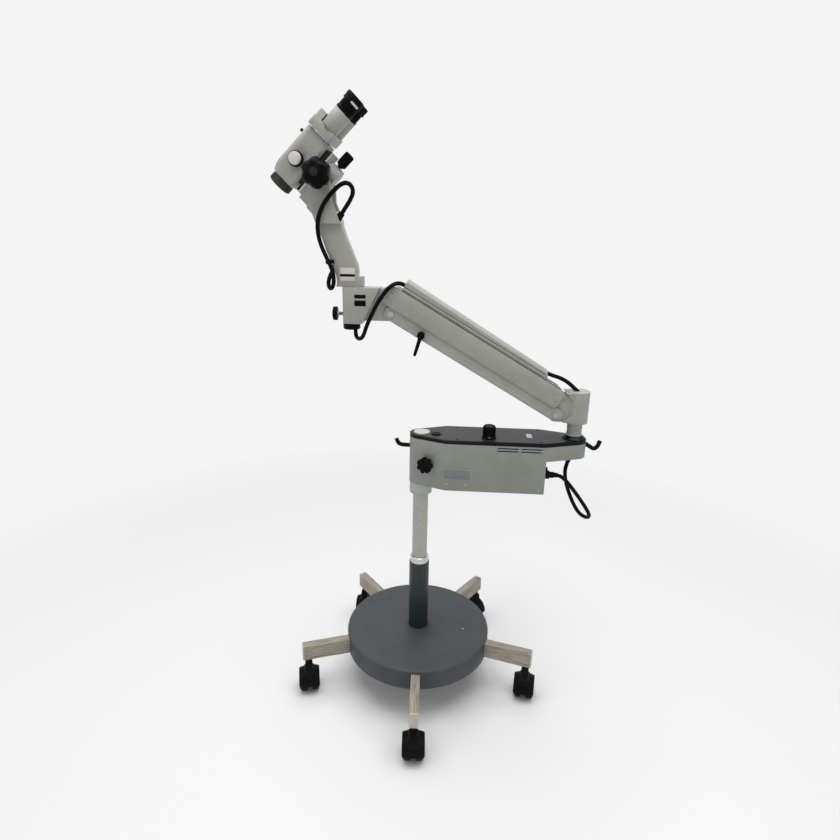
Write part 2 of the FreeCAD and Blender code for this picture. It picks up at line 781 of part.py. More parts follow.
def box_fittings():
    neck_top = box_top
    cap_under = column_top + seat_gap
    bore = column_radius + running_fit
    turned(
        "pivot_hub",
        WORLD,
        [
            (bore, hub_bottom),
            (hub_radius, hub_bottom),
            (hub_radius, box_bottom),
            (hub_neck_radius, box_bottom),
            (hub_neck_radius, neck_top),
            (0, neck_top),
            (0, cap_under),
            (bore, cap_under),
        ],
    )
    turned(
        "pivot_cap",
        WORLD,
        [
            (0, lid_top),
            (cap_radius, lid_top),
            (cap_radius, lid_top + cap_height - 2, 2),
            (cap_radius - 2, lid_top + cap_height),
            (0, lid_top + cap_height),
        ],
    )
    body = node("box_plates", several=True)
    face = sketch(body, "XZ_Plane", box_half_width)
    rectangle(face, plate_left, plate_bottom, plate_left + plate_length, plate_bottom + plate_height)
    pad(body, face, plate_thickness)
    half_x, half_y = window_length / 2, window_width / 2
    glass = sketch(body, "XY_Plane", lid_top - 1)
    rectangle(glass, window_x - half_x, -half_y, window_x + half_x, half_y)
    pad(body, glass, 1.2)
    body = node("transformer")
    corner = (supply_x, -supply_width / 2, supply_x + supply_length, supply_width / 2)
    pad(body, rectangle(sketch(body, "XY_Plane", box_bottom + box_wall), *corner), supply_height)
    core = (supply_x - 8, -supply_width / 4, supply_x + supply_length + 8, supply_width / 4)
    pad(body, rectangle(sketch(body, "XY_Plane", box_bottom + box_wall), *core), supply_height * 0.7)
    body = node("lamp_module")
    corner = (lamp_x, -lamp_width / 2, lamp_x + lamp_length, lamp_width / 2)
    pad(body, rectangle(sketch(body, "XY_Plane", box_bottom + box_wall), *corner), lamp_height)
    ring(sketch(body, "YZ_Plane", lamp_x + lamp_length), 0, box_bottom + 45, 28)
    pad(body, body.Group[-1], 14)
    post = size("post_flare", 11)
    turned(
        "rear_post",
        (tail_reach, 0, lid_top, Z_AXIS, 0),
        [
            (0, 0),
            (post_collar_radius, 0),
            (post_collar_radius, 2),
            (post_radius, post_collar_height, -post * 1.6),
            (post_radius, 22),
            (post_radius - 1.5, 23),
            (post_radius - 1.5, 26),
            (post_radius, 27),
            (post_radius, post_height),
            (spigot_radius, post_height),
            (spigot_radius, post_height + spigot_height),
            (0, post_height + spigot_height),
        ],
    )
    body = node("box_connectors", several=True)
    peg(body, box_length, plug_y, plug_z, Y_AXIS, 90, plug_radius, plug_length * 0.6)
    peg(body, box_length, plug_y, plug_z, Y_AXIS, 90, plug_radius - 3, plug_length)
    tab = sketch(body, "YZ_Plane", box_length)
    rectangle(tab, plug_y - 6, plug_z, plug_y + 6, plug_z + 21)
    pad(body, tab, plug_length * 0.4)
    peg(body, gland_x, 0, overhang_bottom - gland_height, Z_AXIS, 0, gland_radius, gland_height)


def power_button():
    turned(
        "power_button",
        (button_x, button_y, 0, Z_AXIS, 0),
        [
            (0, box_top - 4),
            (button_radius + 2, box_top - 4),
            (button_radius + 2, box_top - 0.5),
            (button_radius, box_top - 0.5),
            (button_radius, lid_top + button_height - 2, 2),
            (button_radius - 2, lid_top + button_height),
            (0, lid_top + button_height),
        ],
    )


def brightness_knob():
    low = lid_top + seat_gap
    turned(
        "brightness_knob",
        (dial_x, dial_y, 0, Z_AXIS, 0),
        [
            (0, box_top - 14),
            (shaft_radius, box_top - 14),
            (shaft_radius, low),
            (dial_radius, low),
            (dial_radius, low + 4),
            (dial_radius - 3, low + 7),
            (dial_radius - 4, low + dial_height - 3, 3),
            (dial_radius - 7, low + dial_height),
            (0, low + dial_height),
        ],
    )


def lobed(body, plane_role, lift, thickness, radius, lobes, notch, circle, reverse=False):
    """A round grip with scallops cut round its rim."""
    disc = pad(body, ring(sketch(body, plane_role, lift), 0, 0, radius), thickness, reverse=reverse)
    cut = pocket(body, ring(sketch(body, plane_role, lift), circle, 0, notch), thickness, reverse=not reverse)
    return repeat(body, [cut], lobes)


def swivel_lock_knob():
    body = node("swivel_lock_knob", (lock_base_x, lock_base_y, lock_z, Vector(0.9131, -0.4077, 0), 90))
    lobed(body, "XY_Plane", seat_gap * 2 + 5, lock_length - 6, lock_radius, 7, 7, lock_radius + 3.5)
    pad(body, ring(sketch(body, "XY_Plane", seat_gap), 0, 0, lock_radius - 9), seat_gap + 5)
    pad(body, ring(sketch(body, "XY_Plane", -9), 0, 0, 5), 10)


def arc_path(points, least=0.0):
    """A path of straight runs joined by tangent arcs, each as large as its two runs allow."""
    spots = [Vector(*point) for point in points]
    edges, radii = [], []
    start = spots[0]
    for before, corner, after in zip(spots, spots[1:], spots[2:]):
        inward, outward = (corner - before).normalize(), (after - corner).normalize()
        turn = inward.getAngle(outward)
        shorter = min((corner - before).Length, (after - corner).Length)
        reach = 0.45 * shorter
        radii.append(reach / math.tan(turn / 2))
        entry, leave = corner - inward * reach, corner + outward * reach
        toward = (outward - inward).normalize()
        middle = corner + toward * (radii[-1] / math.cos(turn / 2) - radii[-1])
        edges.append(Part.LineSegment(start, entry).toShape())
        edges.append(Part.Arc(entry, middle, leave).toShape())
        start = leave
    edges.append(Part.LineSegment(start, spots[-1]).toShape())
    return Part.Wire(edges), radii


def from_anchor(x, z, points):
    """Moves a route that is drawn from the place that it belongs to."""
    return [(x + point[0], point[1], z + point[2]) for point in points]


def cord(label, points, diameter):
    """A cable: one round section swept along a path of runs and arcs."""
    wire, radii = arc_path(points)
    path = doc.addObject("Part::Feature", f"{label}_path")
    path.Shape = wire
    section = doc.addObject("Part::Circle", f"{label}_section")
    section.setExpression("Radius", (diameter / 2).text)
    section.Radius = diameter.value / 2
    heading = Vector(*points[1]) - Vector(*points[0])
    section.Placement = Placement(Vector(*points[0]), Rotation(Z_AXIS, heading))
    sweep = doc.addObject("Part::Sweep", label)
    sweep.Label = label
    sweep.Sections = [section]
    sweep.Spine = (path, [f"Edge{number + 1}" for number in range(len(wire.Edges))])
    sweep.Solid = True
    sweep.Frenet = False
    nodes.append(sweep)
    print(label, "length", round(wire.Length), "arc radii", [round(radius, 1) for radius in radii])
    cord.lengths[label] = (wire.Length, diameter.value)
    return sweep


cord.lengths = {}


def cable_hooks():
    """The two hooks that the cable is wound round, bent from rod."""
    parts = []
    nose, tail, top = -nose_radius.value, (tail_reach + tail_radius).value, box_top.value
    left = from_anchor(nose, top, [(4, 0, -30), (-18, 0, -30), (-32, 0, -27), (-39, 0, -12)])
    right = from_anchor(tail, top, [(-4, 0, -4), (10, 0, -12), (24, 0, -21), (34, 0, -13), (39, 0, 4)])
    for name, points in (("left", left), ("right", right)):
        wire, radii = arc_path(points)
        path = doc.addObject("Part::Feature", f"{name}_hook_path")
        path.Shape = wire
        section = doc.addObject("Part::Circle", f"{name}_hook_section")
        section.Radius = hook_rod.value / 2
        heading = Vector(*points[1]) - Vector(*points[0])
        section.Placement = Placement(Vector(*points[0]), Rotation(Z_AXIS, heading))
        sweep = doc.addObject("Part::Sweep", f"{name}_hook")
        sweep.Sections = [section]
        sweep.Spine = (path, [f"Edge{number + 1}" for number in range(len(wire.Edges))])
        sweep.Solid = True
        parts.append(sweep)
    doc.recompute()
    # The roots stop at the outside of the box's walls
    block = doc.addObject("Part::Box", "hook_trim")
    block.Length, block.Width, block.Height = tail - nose + 0.2, 60, 100
    block.Placement = Placement(Vector(nose - 0.1, -30, top - 71), Rotation())
    both = doc.addObject("Part::Compound", "hook_pair")
    both.Links = parts
    hooks = doc.addObject("Part::Cut", "cable_hooks")
    hooks.Base, hooks.Tool = both, block
    hooks.Label = "cable_hooks"
    nodes.append(hooks)


# Rear head and the parallel arm


def rear_head():
    frame = (tail_reach, 0, rear_bottom, Z_AXIS, 0)
    body = node("rear_housing", frame)
    middle = pivot_rise + link_gap / 2
    flank = rectangle(sketch(body, "XZ_Plane"), -yoke_reach + 20, 4, 0, rear_height - 2)
    pad(body, flank, flank_half * 2, midplane=True)
    pocket(body, ring(sketch(body, "XZ_Plane"), -yoke_reach, middle, flank_radius), 80, midplane=True)
    drum = pad(body, ring(sketch(body, "XY_Plane"), 0, 0, rear_radius), rear_height)
    step = Term(15.97, "15.97")
    tongue = loop(
        sketch(body, "XZ_Plane"),
        [
            (-yoke_reach, pivot_rise - tongue_round),
            (-10, pivot_rise - tongue_round),
            (-10, pivot_rise + link_gap + 8.3),
            (step - yoke_reach, pivot_rise + link_gap + 8.3, tongue_round),
            (-yoke_reach - tongue_round, pivot_rise + link_gap),
            (-yoke_reach - tongue_round, pivot_rise, tongue_round),
        ],
    )
    pad(body, tongue, tongue_half * 2, midplane=True)
    bore = ring(sketch(body, "XY_Plane", -1), 0, 0, spigot_radius + running_fit)
    pocket(body, bore, spigot_height + 2, reverse=True)
    # The cable from the arm goes in at the top
    lean = Rotation(Z_AXIS, Vector(-17, 0, 16))
    drill(body, 1, 0, rear_height - 3.5, lean.Axis, math.degrees(lean.Angle), cord_diameter / 2 + seat_gap, 40)
    holes = sketch(body, "XZ_Plane")
    ring(holes, -yoke_reach, pivot_rise, pin_radius)
    ring(holes, -yoke_reach, pivot_rise + link_gap, pin_radius)
    pocket(body, holes, 80, midplane=True)
    pins("rear_pins", (rear_pivot_x, 0, rear_low_z, Z_AXIS, 0))


def pins(label, frame):
    """A headed pin that carries the lower link and a blind one that carries the cover."""
    body = node(label, frame, several=True)
    pad(body, ring(sketch(body, "XZ_Plane"), 0, 0, pin_radius), link_half * 2 + 1, midplane=True)
    for side in (1, -1):
        head = ring(sketch(body, "XZ_Plane", side * (link_half + seat_gap)), 0, 0, pin_head)
        pad(body, head, 2.5, reverse=side < 0)
    pad(body, ring(sketch(body, "XZ_Plane"), 0, link_gap, pin_radius), cover_half * 2 - 2, midplane=True)


def arm_cover():
    body = node("arm_cover", COVER)
    end = arm_length + cover_tail
    bend = Term(10, "10")
    profile = loop(
        sketch(body, "XZ_Plane"),
        [
            (0, -cover_rise),
            (end - bend, -cover_rise, bend),
            (end, bend - cover_rise),
            (end, cover_rise - bend, bend),
            (end - bend, cover_rise),
            (0, cover_rise, cover_rise),
            (-cover_rise, 0, cover_rise),
        ],
    )
    pad(body, profile, cover_half * 2, midplane=True)
    inside = (cover_half - cover_wall) * 2
    below = cover_rise - cover_wall
    pocket(body, rectangle(sketch(body, "XZ_Plane"), -60, -60, end + 20, below), inside, midplane=True)
    beyond = rectangle(sketch(body, "XZ_Plane"), arm_length + 8, below - 5, end + 20, 60)
    pocket(body, beyond, inside, midplane=True)
    holes = sketch(body, "XZ_Plane")
    ring(holes, 0, 0, pin_radius + running_fit)
    ring(holes, arm_length, 0, pin_radius + running_fit)
    pocket(body, holes, cover_half * 2 - 2 + seat_gap * 2, midplane=True)


def cable_duct():
    body = node("cable_duct", COVER)
    start, end = duct_front, arm_length - duct_rear
    profile = [
        (start, cover_rise),
        (end, cover_rise),
        (end - 14, cover_rise + duct_rear_height),
        (start, cover_rise + duct_front_height),
    ]
    pad(body, loop(sketch(body, "XZ_Plane"), profile), duct_half * 2, midplane=True)

    def long_top(edge):
        box = edge.BoundBox
        return box.XLength > 300 and box.ZMin > cover_rise.value + 10

    soften(body, 7, long_top, "Chamfer")
    inner = [
        (start + duct_wall, cover_rise),
        (end - duct_wall * 2, cover_rise),
        (end - duct_wall - 14, cover_rise + duct_rear_height - duct_wall),
        (start + duct_wall, cover_rise + duct_front_height - duct_wall),
    ]
    pocket(body, loop(sketch(body, "XZ_Plane"), inner), (duct_half - 7) * 2, midplane=True)
    # The cable's hole in each end
    drill(body, start - 1, -10, cover_rise + 16, Y_AXIS, 90, cord_diameter / 2 + 2, duct_wall + 2)
    drill(body, end - 25, 0, cover_rise + 15.5, Y_AXIS, 90, cord_diameter / 2 + 1, 25)


def spring_cartridge():
    body = node("spring_cartridge", COVER)
    pad(body, ring(sketch(body, "YZ_Plane", spring_start), 0, 0, spring_radius), spring_length)
    inside = cover_half - cover_wall
    below = cover_rise - cover_wall
    for along in (spring_start, spring_start + spring_length - 8):
        plate = rectangle(sketch(body, "YZ_Plane", along), -inside, -15, inside, below)
        pad(body, plate, 8)
    rest = arm_length - spring_start - spring_length - tongue_round - 3
    pad(body, ring(sketch(body, "YZ_Plane", spring_start + spring_length), 0, 0, rod_radius), rest)


def arm_lower_link():
    body = node("arm_lower_link", LINK)
    middle = (link_above - link_below) / 2
    bend = (link_above + link_below) / 2
    profile = loop(
        sketch(body, "XZ_Plane"),
        [
            (0, -link_below),
            (arm_length, -link_below, bend),
            (arm_length + bend, middle, bend),
            (arm_length, link_above),
            (0, link_above, bend),
            (-bend, middle, bend),
        ],
    )
    pad(body, profile, link_half * 2, midplane=True)
    inside = (link_half - link_wall) * 2
    channel = rectangle(sketch(body, "XZ_Plane"), -60, link_wall - link_below, arm_length + 60, 60)
    pocket(body, channel, inside, midplane=True)
    for start in (term(-60), arm_length - 40):
        pocket(body, rectangle(sketch(body, "XZ_Plane"), start, -40, start + 100, 40), inside, midplane=True)
    holes = sketch(body, "XZ_Plane")
    ring(holes, 0, 0, pin_radius + running_fit)
    ring(holes, arm_length, 0, pin_radius + running_fit)
    pocket(body, holes, 80, midplane=True)
    drill(body, lever_along, -link_half - 1, -lever_drop, X_AXIS, -90, 3.06, link_wall + 2)


def brake_lever():
    """The lever that clamps the arm at its height, on the near side of the lower link."""
    x = front_pivot_x + lever_along * cosine(arm_slope) - lever_drop * sine(arm_slope)
    z = front_low_z - lever_along * sine(arm_slope) - lever_drop * cosine(arm_slope)
    body = node("brake_lever", (x, 0, z, Z_AXIS, 0))
    face = link_half + seat_gap
    pad(body, ring(sketch(body, "XZ_Plane", face), 0, 0, 10), 13)
    pad(body, ring(sketch(body, "XZ_Plane", face - link_wall - 1), 0, 0, 3), link_wall + 2)
    handle = loop(
        sketch(body, "XZ_Plane", face + 4),
        [(-20, -lever_length, 4.5), (-11.5, -lever_length - 1, 4.5), (-11, -lever_length + 1), (6, 0), (-6, 0)],
    )
    pad(body, handle, 6)


# Front block and carrier


def front_head():
    frame = (front_pivot_x, 0, front_low_z, Z_AXIS, 0)
    body = node("front_block", frame)
    left = -block_reach - block_left
    top = link_gap + block_top_rise
    profile = loop(
        sketch(body, "XZ_Plane"),
        [(left, -block_drop), (-75.5, -block_drop), (-28.5, top), (left, top)],
    )
    pad(body, profile, block_half * 2, midplane=True)
    soften(body, 12, runs_along("z", lambda box: box.XMin < left.value + 1))
    tongue = loop(
        sketch(body, "XZ_Plane"),
        [
            (-80, -tongue_round),
            (0, -tongue_round, tongue_round),
            (tongue_round, 0),
            (tongue_round, link_gap, tongue_round),
            (0, link_gap + tongue_round),
            (-80, link_gap + tongue_round),
        ],
    )
    pad(body, tongue, tongue_half * 2, midplane=True)
    holes = sketch(body, "XZ_Plane")
    ring(holes, 0, 0, pin_radius)
    ring(holes, 0, link_gap, pin_radius)
    pocket(body, holes, 80, midplane=True)
    socket = ring(sketch(body, "XY_Plane", 6 - block_drop), -block_reach, 0, spindle_radius + running_fit)
    pocket(body, socket, 120, reverse=True)
    drill(body, left - 1, 0, clamp_z_rise - block_drop, Y_AXIS, 90, clamp_stem + running_fit, block_left)
    pins("front_pins", frame)
    low = block_bottom - swivel_cap_height
    turned(
        "swivel_cap",
        (swivel_x, 0, low, Z_AXIS, 0),
        [
            (0, 0),
            (swivel_cap_radius - 3, 0),
            (swivel_cap_radius, 3),
            (swivel_cap_radius, swivel_cap_height),
            (0, swivel_cap_height),
        ],
    )
    reach = block_left + 18
    turned(
        "carrier_clamp_knob",
        (swivel_x, 0, block_bottom + clamp_z_rise, Z_AXIS, 0),
        [
            (-spindle_radius - seat_gap, 0),
            (-spindle_radius - seat_gap, clamp_stem),
            (-reach, clamp_stem),
            (-reach, clamp_radius - 1.5),
            (-reach - 1.5, clamp_radius),
            (1.5 - reach - clamp_thickness, clamp_radius),
            (-reach - clamp_thickness, clamp_radius - 1.5),
            (-reach - clamp_thickness, 0),
        ],
        "H_Axis",
        "XY_Plane",
    )


def carrier():
    frame = (swivel_x, 0, foot_z, Z_AXIS, 0)
    body = node("carrier_arm", frame)
    beam = loop(
        sketch(body, "XZ_Plane"),
        [
            (-foot_left, 0),
            (foot_right - 3, 0),
            (foot_right, 3),
            (foot_right, foot_height),
            (19, foot_height),
            (20, 39),
            (17, 58),
            (5, 87),
            (-10, 124),
            (-25, 170),
            (-30, 184),
            (-88, 172),
            (-85, 161),
            (-60, 90),
            (-45, 56),
            (-36, 27),
            (-34, 12),
        ],
    )
    pad(body, beam, carrier_half * 2, midplane=True)
    left, right = -tilt_back - cheek_round, -tilt_back + cheek_round
    fork = loop(
        sketch(body, "XZ_Plane"),
        [
            (-83, 157),
            (-21, 157),
            (-25, 170),
            (-41, 210),
            (-42, 246),
            (right, tilt_rise, cheek_round),
            (-tilt_back, tilt_rise + cheek_round, cheek_round),
            (left, tilt_rise),
            (-102, 246),
            (-104, 193),
            (-91, 179),
        ],
    )
    pad(body, fork, fork_half * 2, midplane=True)
    slot = loop(
        sketch(body, "XZ_Plane"),
        [
            (-tilt_back - 60, tilt_rise - fork_reach, fork_sweep),
            (-tilt_back + 60, tilt_rise - fork_reach),
            (-tilt_back + 60, tilt_rise + 60),
            (-tilt_back - 60, tilt_rise + 60),
        ],
    )
    pocket(body, slot, fork_slot * 2, midplane=True)
    hole = ring(sketch(body, "XZ_Plane"), -tilt_back, tilt_rise, tilt_pin + running_fit)
    pocket(body, hole, 100, midplane=True)
    pad(body, ring(sketch(body, "XY_Plane", -85), 0, 0, spindle_radius), 88)
    # The cable's end goes into the left edge
    lean = Rotation(Z_AXIS, Vector(8, 0, 14))
    drill(body, -53, 0, 33.3, lean.Axis, math.degrees(lean.Angle), cord_diameter / 2 + seat_gap, 28)


# Microscope head


def head_frame(along, across):
    """A point of the head's own frame, in the part's frame, turned with the optical axis."""
    along, across = term(along), term(across)
    x = head_x + along * cosine(optic_slope) - across * sine(optic_slope)
    z = head_z + along * sine(optic_slope) + across * cosine(optic_slope)
    return (x, 0, z, Y_AXIS, -optic_slope)


def tilt_group():
    body = node("tilt_housing", HEAD)
    box = rectangle(sketch(body, "XZ_Plane"), -drive_left, -drive_bottom, drive_box, -drive_top)
    pad(body, box, drive_half * 2, midplane=True)
    soften(body, 10, runs_along("y", lambda box: box.ZMax < -drive_bottom.value + 1))
    drum = ring(sketch(body, "XY_Plane", -drive_boss_bottom), drive_boss_along, 0, drive_boss_radius)
    pad(body, drum, drive_boss_bottom - drive_top)
    boss = ring(sketch(body, "XY_Plane", -drive_bottom - 4), -24, 0, 15)
    pad(body, boss, 6)
    base = rectangle(sketch(body, "XZ_Plane"), 8 - drive_left, -drive_top, rail_right, -drive_top + rail_base)
    pad(body, base, rail_half * 2, midplane=True)
    pin = ring(sketch(body, "XZ_Plane"), tilt_along, -tilt_below, tilt_pin)
    pad(body, pin, fork_half * 2, midplane=True)
    drill(body, drive_right - 18, 0, -focus_knob_below, Y_AXIS, 90, 4.06, 20)

    body = node("focus_rail", HEAD)
    low = -drive_top + rail_base
    neck = low + 6
    top = neck + 7
    profile = loop(
        sketch(body, "YZ_Plane", 8 - drive_left),
        [
            (-rail_half, low),
            (rail_half, low),
            (rail_half, neck),
            (rail_neck_half, neck),
            (rail_top_half, top),
            (-rail_top_half, top),
            (-rail_neck_half, neck),
            (-rail_half, neck),
        ],
    )
    pad(body, profile, rail_right + drive_left - 8)

    body = node("slide_bracket", HEAD)
    gap = running_fit
    block = rectangle(sketch(body, "YZ_Plane", 20 - body_front), -rail_half - 3, neck + seat_gap, rail_half + 3, -body_low)
    length = body_front + body_back - 30
    pad(body, block, length)
    groove = loop(
        sketch(body, "YZ_Plane", 20 - body_front),
        [
            (-rail_neck_half - gap, neck),
            (rail_neck_half + gap, neck),
            (rail_top_half + gap * 2, top + gap),
            (-rail_top_half - gap * 2, top + gap),
        ],
    )
    pocket(body, groove, length, reverse=True)

    start = drive_right
    turned(
        "focus_knob",
        head_frame(0, -focus_knob_below),
        [
            (start - 16, 0),
            (start - 16, 4),
            (start + seat_gap, 4),
            (start + seat_gap, 8),
            (start + 4, 8),
            (start + 4, focus_knob_radius - 1.5),
            (start + 5.5, focus_knob_radius),
            (start + 3 + focus_knob_length, focus_knob_radius),
            (start + 4.5 + focus_knob_length, focus_knob_radius - 1.5),
            (start + 4.5 + focus_knob_length, 0),
        ],
        "H_Axis",
        "XY_Plane",
    )

    body = node("tilt_knob", (tilt_x, 0, tilt_z, Y_AXIS, 30))
    lobed(body, "XZ_Plane", tilt_knob_start, tilt_knob_length, tilt_knob_radius, 6, 13, tilt_knob_radius + 6)
    stem = ring(sketch(body, "XZ_Plane", fork_half + seat_gap), 0, 0, tilt_skirt_radius)
    pad(body, stem, tilt_knob_start - fork_half)


def head_group():
    body = node("head_body", HEAD)
    profile = loop(
        sketch(body, "XZ_Plane"),
        [
            (-body_front, -body_low),
            (body_back, -body_low),
            (body_back, body_high),
            (-body_brow, body_high, body_brow_radius),
            (-body_front, body_chin_high),
        ],
    )
    pad(body, profile, body_half * 2, midplane=True)

    def upper(edge):
        box = edge.BoundBox
        return box.XLength > 20 and box.YLength < 1e-3 and box.ZMin > 20

    soften(body, 14, upper)
    soften(body, 8, runs_along("x", lambda box: box.ZMax < 0))
    drum = ring(sketch(body, "XZ_Plane"), changer_along, 0, changer_radius + running_fit)
    pocket(body, drum, 100, midplane=True)
    channel = ring(sketch(body, "YZ_Plane", -body_front - 1), 0, 0, objective_bore)
    pocket(body, channel, 20, reverse=True)
    peg(body, 51, 0, body_high - 3, Z_AXIS, 0, 2, 16)

    body = node("objective_ring", HEAD, several=True)
    ring_start = -body_front - objective_length
    revolve(
        body,
        loop(
            sketch(body, "XZ_Plane"),
            [
                (ring_start, objective_mouth),
                (ring_start, objective_radius - 2),
                (ring_start + 2, objective_radius),
                (-body_front - 7, objective_radius),
                (-body_front - 5, objective_radius - 2),
                (-body_front, objective_radius - 2),
                (-body_front, objective_bore),
                (ring_start + lens_recess, objective_bore),
                (ring_start + lens_recess, objective_mouth),
            ],
        ),
        "H_Axis",
    )
    body = node("objective_lens", HEAD)
    lens = ring(sketch(body, "YZ_Plane", ring_start + lens_recess), 0, 0, objective_bore)
    pad(body, lens, lens_thickness)

    body = node("binocular_base", HEAD)
    pad(body, ring(sketch(body, "YZ_Plane", body_back), 0, 0, flange_radius), flange_length)
    face = body_back + flange_length
    base = rectangle(sketch(body, "YZ_Plane", face), -binocular_half, -34, binocular_half, body_high)
    pad(body, base, binocular_length)
    soften(body, 6, runs_along("x"))
    far = face + binocular_length
    bridge = rectangle(sketch(body, "YZ_Plane", far), -bridge_half, 14.5, bridge_half, body_high - 1)
    pad(body, bridge, bridge_length)
    soften(body, 5, runs_along("x", lambda box: box.XMin > far.value - 1 and box.ZMin > 30))
    way = rectangle(sketch(body, "YZ_Plane", far - 6), -60, -15, 60, -3)
    pocket(body, way, 6, reverse=True)

    low = changer_face_length
    x, y, z, axis, turn = head_frame(changer_along, 0)
    inner = body_half + seat_gap
    outer = inner + changer_skirt_length
    tip = outer + changer_face_length
    turned(
        "magnification_knobs",
        (x, y, z, axis, turn),
        [
            (0, -tip),
            (changer_face, -tip),
            (changer_face, -outer),
            (changer_skirt, -outer),
            (changer_skirt, -inner),
            (changer_radius, -inner),
            (changer_radius, inner),
            (changer_skirt, inner),
            (changer_skirt, outer),
            (changer_face, outer),
            (changer_face, tip),
            (0, tip),
        ],
        "V_Axis",
        "XY_Plane",
    )

    for name, side in (("left", 1), ("right", -1)):
        centre = side * eye_half
        body = node(f"tube_{name}", HEAD)
        pad(body, ring(sketch(body, "YZ_Plane", far + seat_gap), centre, -eye_below, tube_radius), tube_length - seat_gap)
        foot = rectangle(sketch(body, "YZ_Plane", far - 5.8), centre - 15, -14.9, centre + 15, -3.1)
        pad(body, foot, 7)
        seat = ring(sketch(body, "YZ_Plane", far + tube_length - barrel_length - 1), centre, -eye_below, barrel_radius + running_fit)
        pocket(body, seat, barrel_length + 2, reverse=True)
        start = far + tube_length
        x, y, z, axis, turn = head_frame(start, -eye_below)
        turned(
            f"eyepiece_{name}",
            (x, centre, z, axis, turn),
            [
                (-barrel_length, 0),
                (-barrel_length, barrel_radius),
                (seat_gap, barrel_radius),
                (seat_gap, tube_radius),
                (eyepiece_base, tube_radius),
                (eyepiece_base, dioptre_radius),
                (eyepiece_base + dioptre_length, dioptre_radius),
                (eyepiece_base + dioptre_length, eyecup_radius - 1.5),
                (eyepiece_base + dioptre_length + 1.5, eyecup_radius),
                (eyepiece_base + dioptre_length + eyecup_length - 2, eyecup_radius),
                (eyepiece_base + dioptre_length + eyecup_length, eyecup_radius - 2),
                (eyepiece_base + dioptre_length + eyecup_length, eyecup_bore),
                (eyepiece_base + dioptre_length + eyecup_length - eyecup_depth, eye_lens_radius),
                (eyepiece_base + dioptre_length + eyecup_length - eyecup_depth, 0),
            ],
            "H_Axis",
            "XY_Plane",
        )


# Cables


def cables():
    route = [
        (27.3, -30, 45),
        (41, -30, 44.5),
        (54, -30, 39),
        (67, -30, 27),
        (84, -30, 7),
        (102, -30, -16),
        (119, -30, -39),
        (134, -28, -61),
        (143, -21, -79),
        (142, -9, -92),
        (131, 3, -94),
        (117, 10, -84),
        (104, 12, -64),
        (92, 12, -40),
        (81, 11, -14),
        (73, 9, 10),
        (68, 6, 32),
        (66.5, 3, 51),
        (69, 0.5, 68),
        (71, 0, 78),
        (71, 0, 86.2),
    ]
    cord("box_cord", from_anchor(box_length.value, box_bottom.value, route), box_cord_diameter)
    route = [
        (38.03, -10, 73.6),
        (27.93, -15, 79),
        (17.93, -26, 81),
        (7.93, -38, 78),
        (-4.07, -43.5, 68.5),
        (-18.07, -45, 51.5),
        (-32.07, -45, 30.5),
        (-44.07, -44.5, 7.5),
        (-55.07, -43.5, -15.5),
        (-64.07, -40, -36.5),
        (-70.07, -33, -53.5),
        (-78.07, -23, -65.5),
        (-88.07, -12, -69.5),
        (-96.07, -3, -64.5),
        (-98.07, 0, -54.5),
        (-98.07, 0, -44.5),
    ]
    cord("front_cord", from_anchor(front_pivot_x.value, front_low_z.value, route), cord_diameter)
    route = [
        (-32.3, 0, 114),
        (-16, 0, 106.5),
        (6, 0, 101),
        (27, 0, 90.5),
        (44, 0, 77.5),
        (61, 0, 61.5),
    ]
    cord("rear_cord", from_anchor(rear_pivot_x.value, rear_low_z.value, route), cord_diameter)
    route = [
        (-16.67, -22, 182.7),
        (-6.07, -25, 197.2),
        (6.93, -31, 214.2),
        (15.93, -39, 230.7),
        (12.93, -45, 245.7),
        (0.93, -48, 252.7),
        (-14.07, -48, 248.2),
        (-27.07, -47, 237.7),
        (-41.07, -46, 224.2),
        (-55.07, -45, 207.7),
        (-67.07, -44, 186.7),
        (-75.07, -43, 163.7),
        (-77.57, -37, 139.7),
        (-75.07, -31, 116.7),
        (-68.07, -28.5, 94.7),
        (-58.07, -27.5, 72.7),
        (-49.07, -27, 54.2),
        (-43.07, -26.5, 36.7),
        (-41.07, -25.5, 19.7),
        (-43.07, -22.5, 3.7),
        (-50.07, -17, -6.3),
        (-58.07, -11, -2.3),
        (-60.07, -6, 11.7),
        (-56.07, -2, 26.7),
        (-49.07, 0, 40.2),
        (-41.07, 0, 54.2),
    ]
    cord("carrier_cord", from_anchor(swivel_x.value, foot_z.value, route), cord_diameter)
    # The gland that the cable starts from, and the clip that holds it to the carrier
    body = node("carrier_gland", (swivel_x, 0, foot_z, Z_AXIS, 0), several=True)
    lean = Rotation(Z_AXIS, Vector(10.6, -3, 14.5))
    peg(body, -31.17, -17.9, 162.9, lean.Axis, math.degrees(lean.Angle), 8, 24.8)
    yoke_side = [
        (-64, 129.7),
        (-11.67, 129.7),
        (-24.77, 170),
        (-29.77, 184.2),
        (-40.77, 210),
        (-41.77, 229.7),
        (-64, 229.7),
    ]
    pocket(body, loop(sketch(body, "XZ_Plane"), yoke_side), 100, midplane=True)
    pad(body, rectangle(sketch(body, "XZ_Plane", 20.1), -53.07, 58.7, -40.07, 67.7), 5)
    lean = Rotation(Z_AXIS, Vector(9, 0.5, -18.5))
    peg(body, -55.32, -27.35, 67.05, lean.Axis, math.degrees(lean.Angle), 8, 8)
    drill(body, -57.07, -27.45, 70.65, lean.Axis, math.degrees(lean.Angle), cord_diameter / 2 + 0.4, 16)


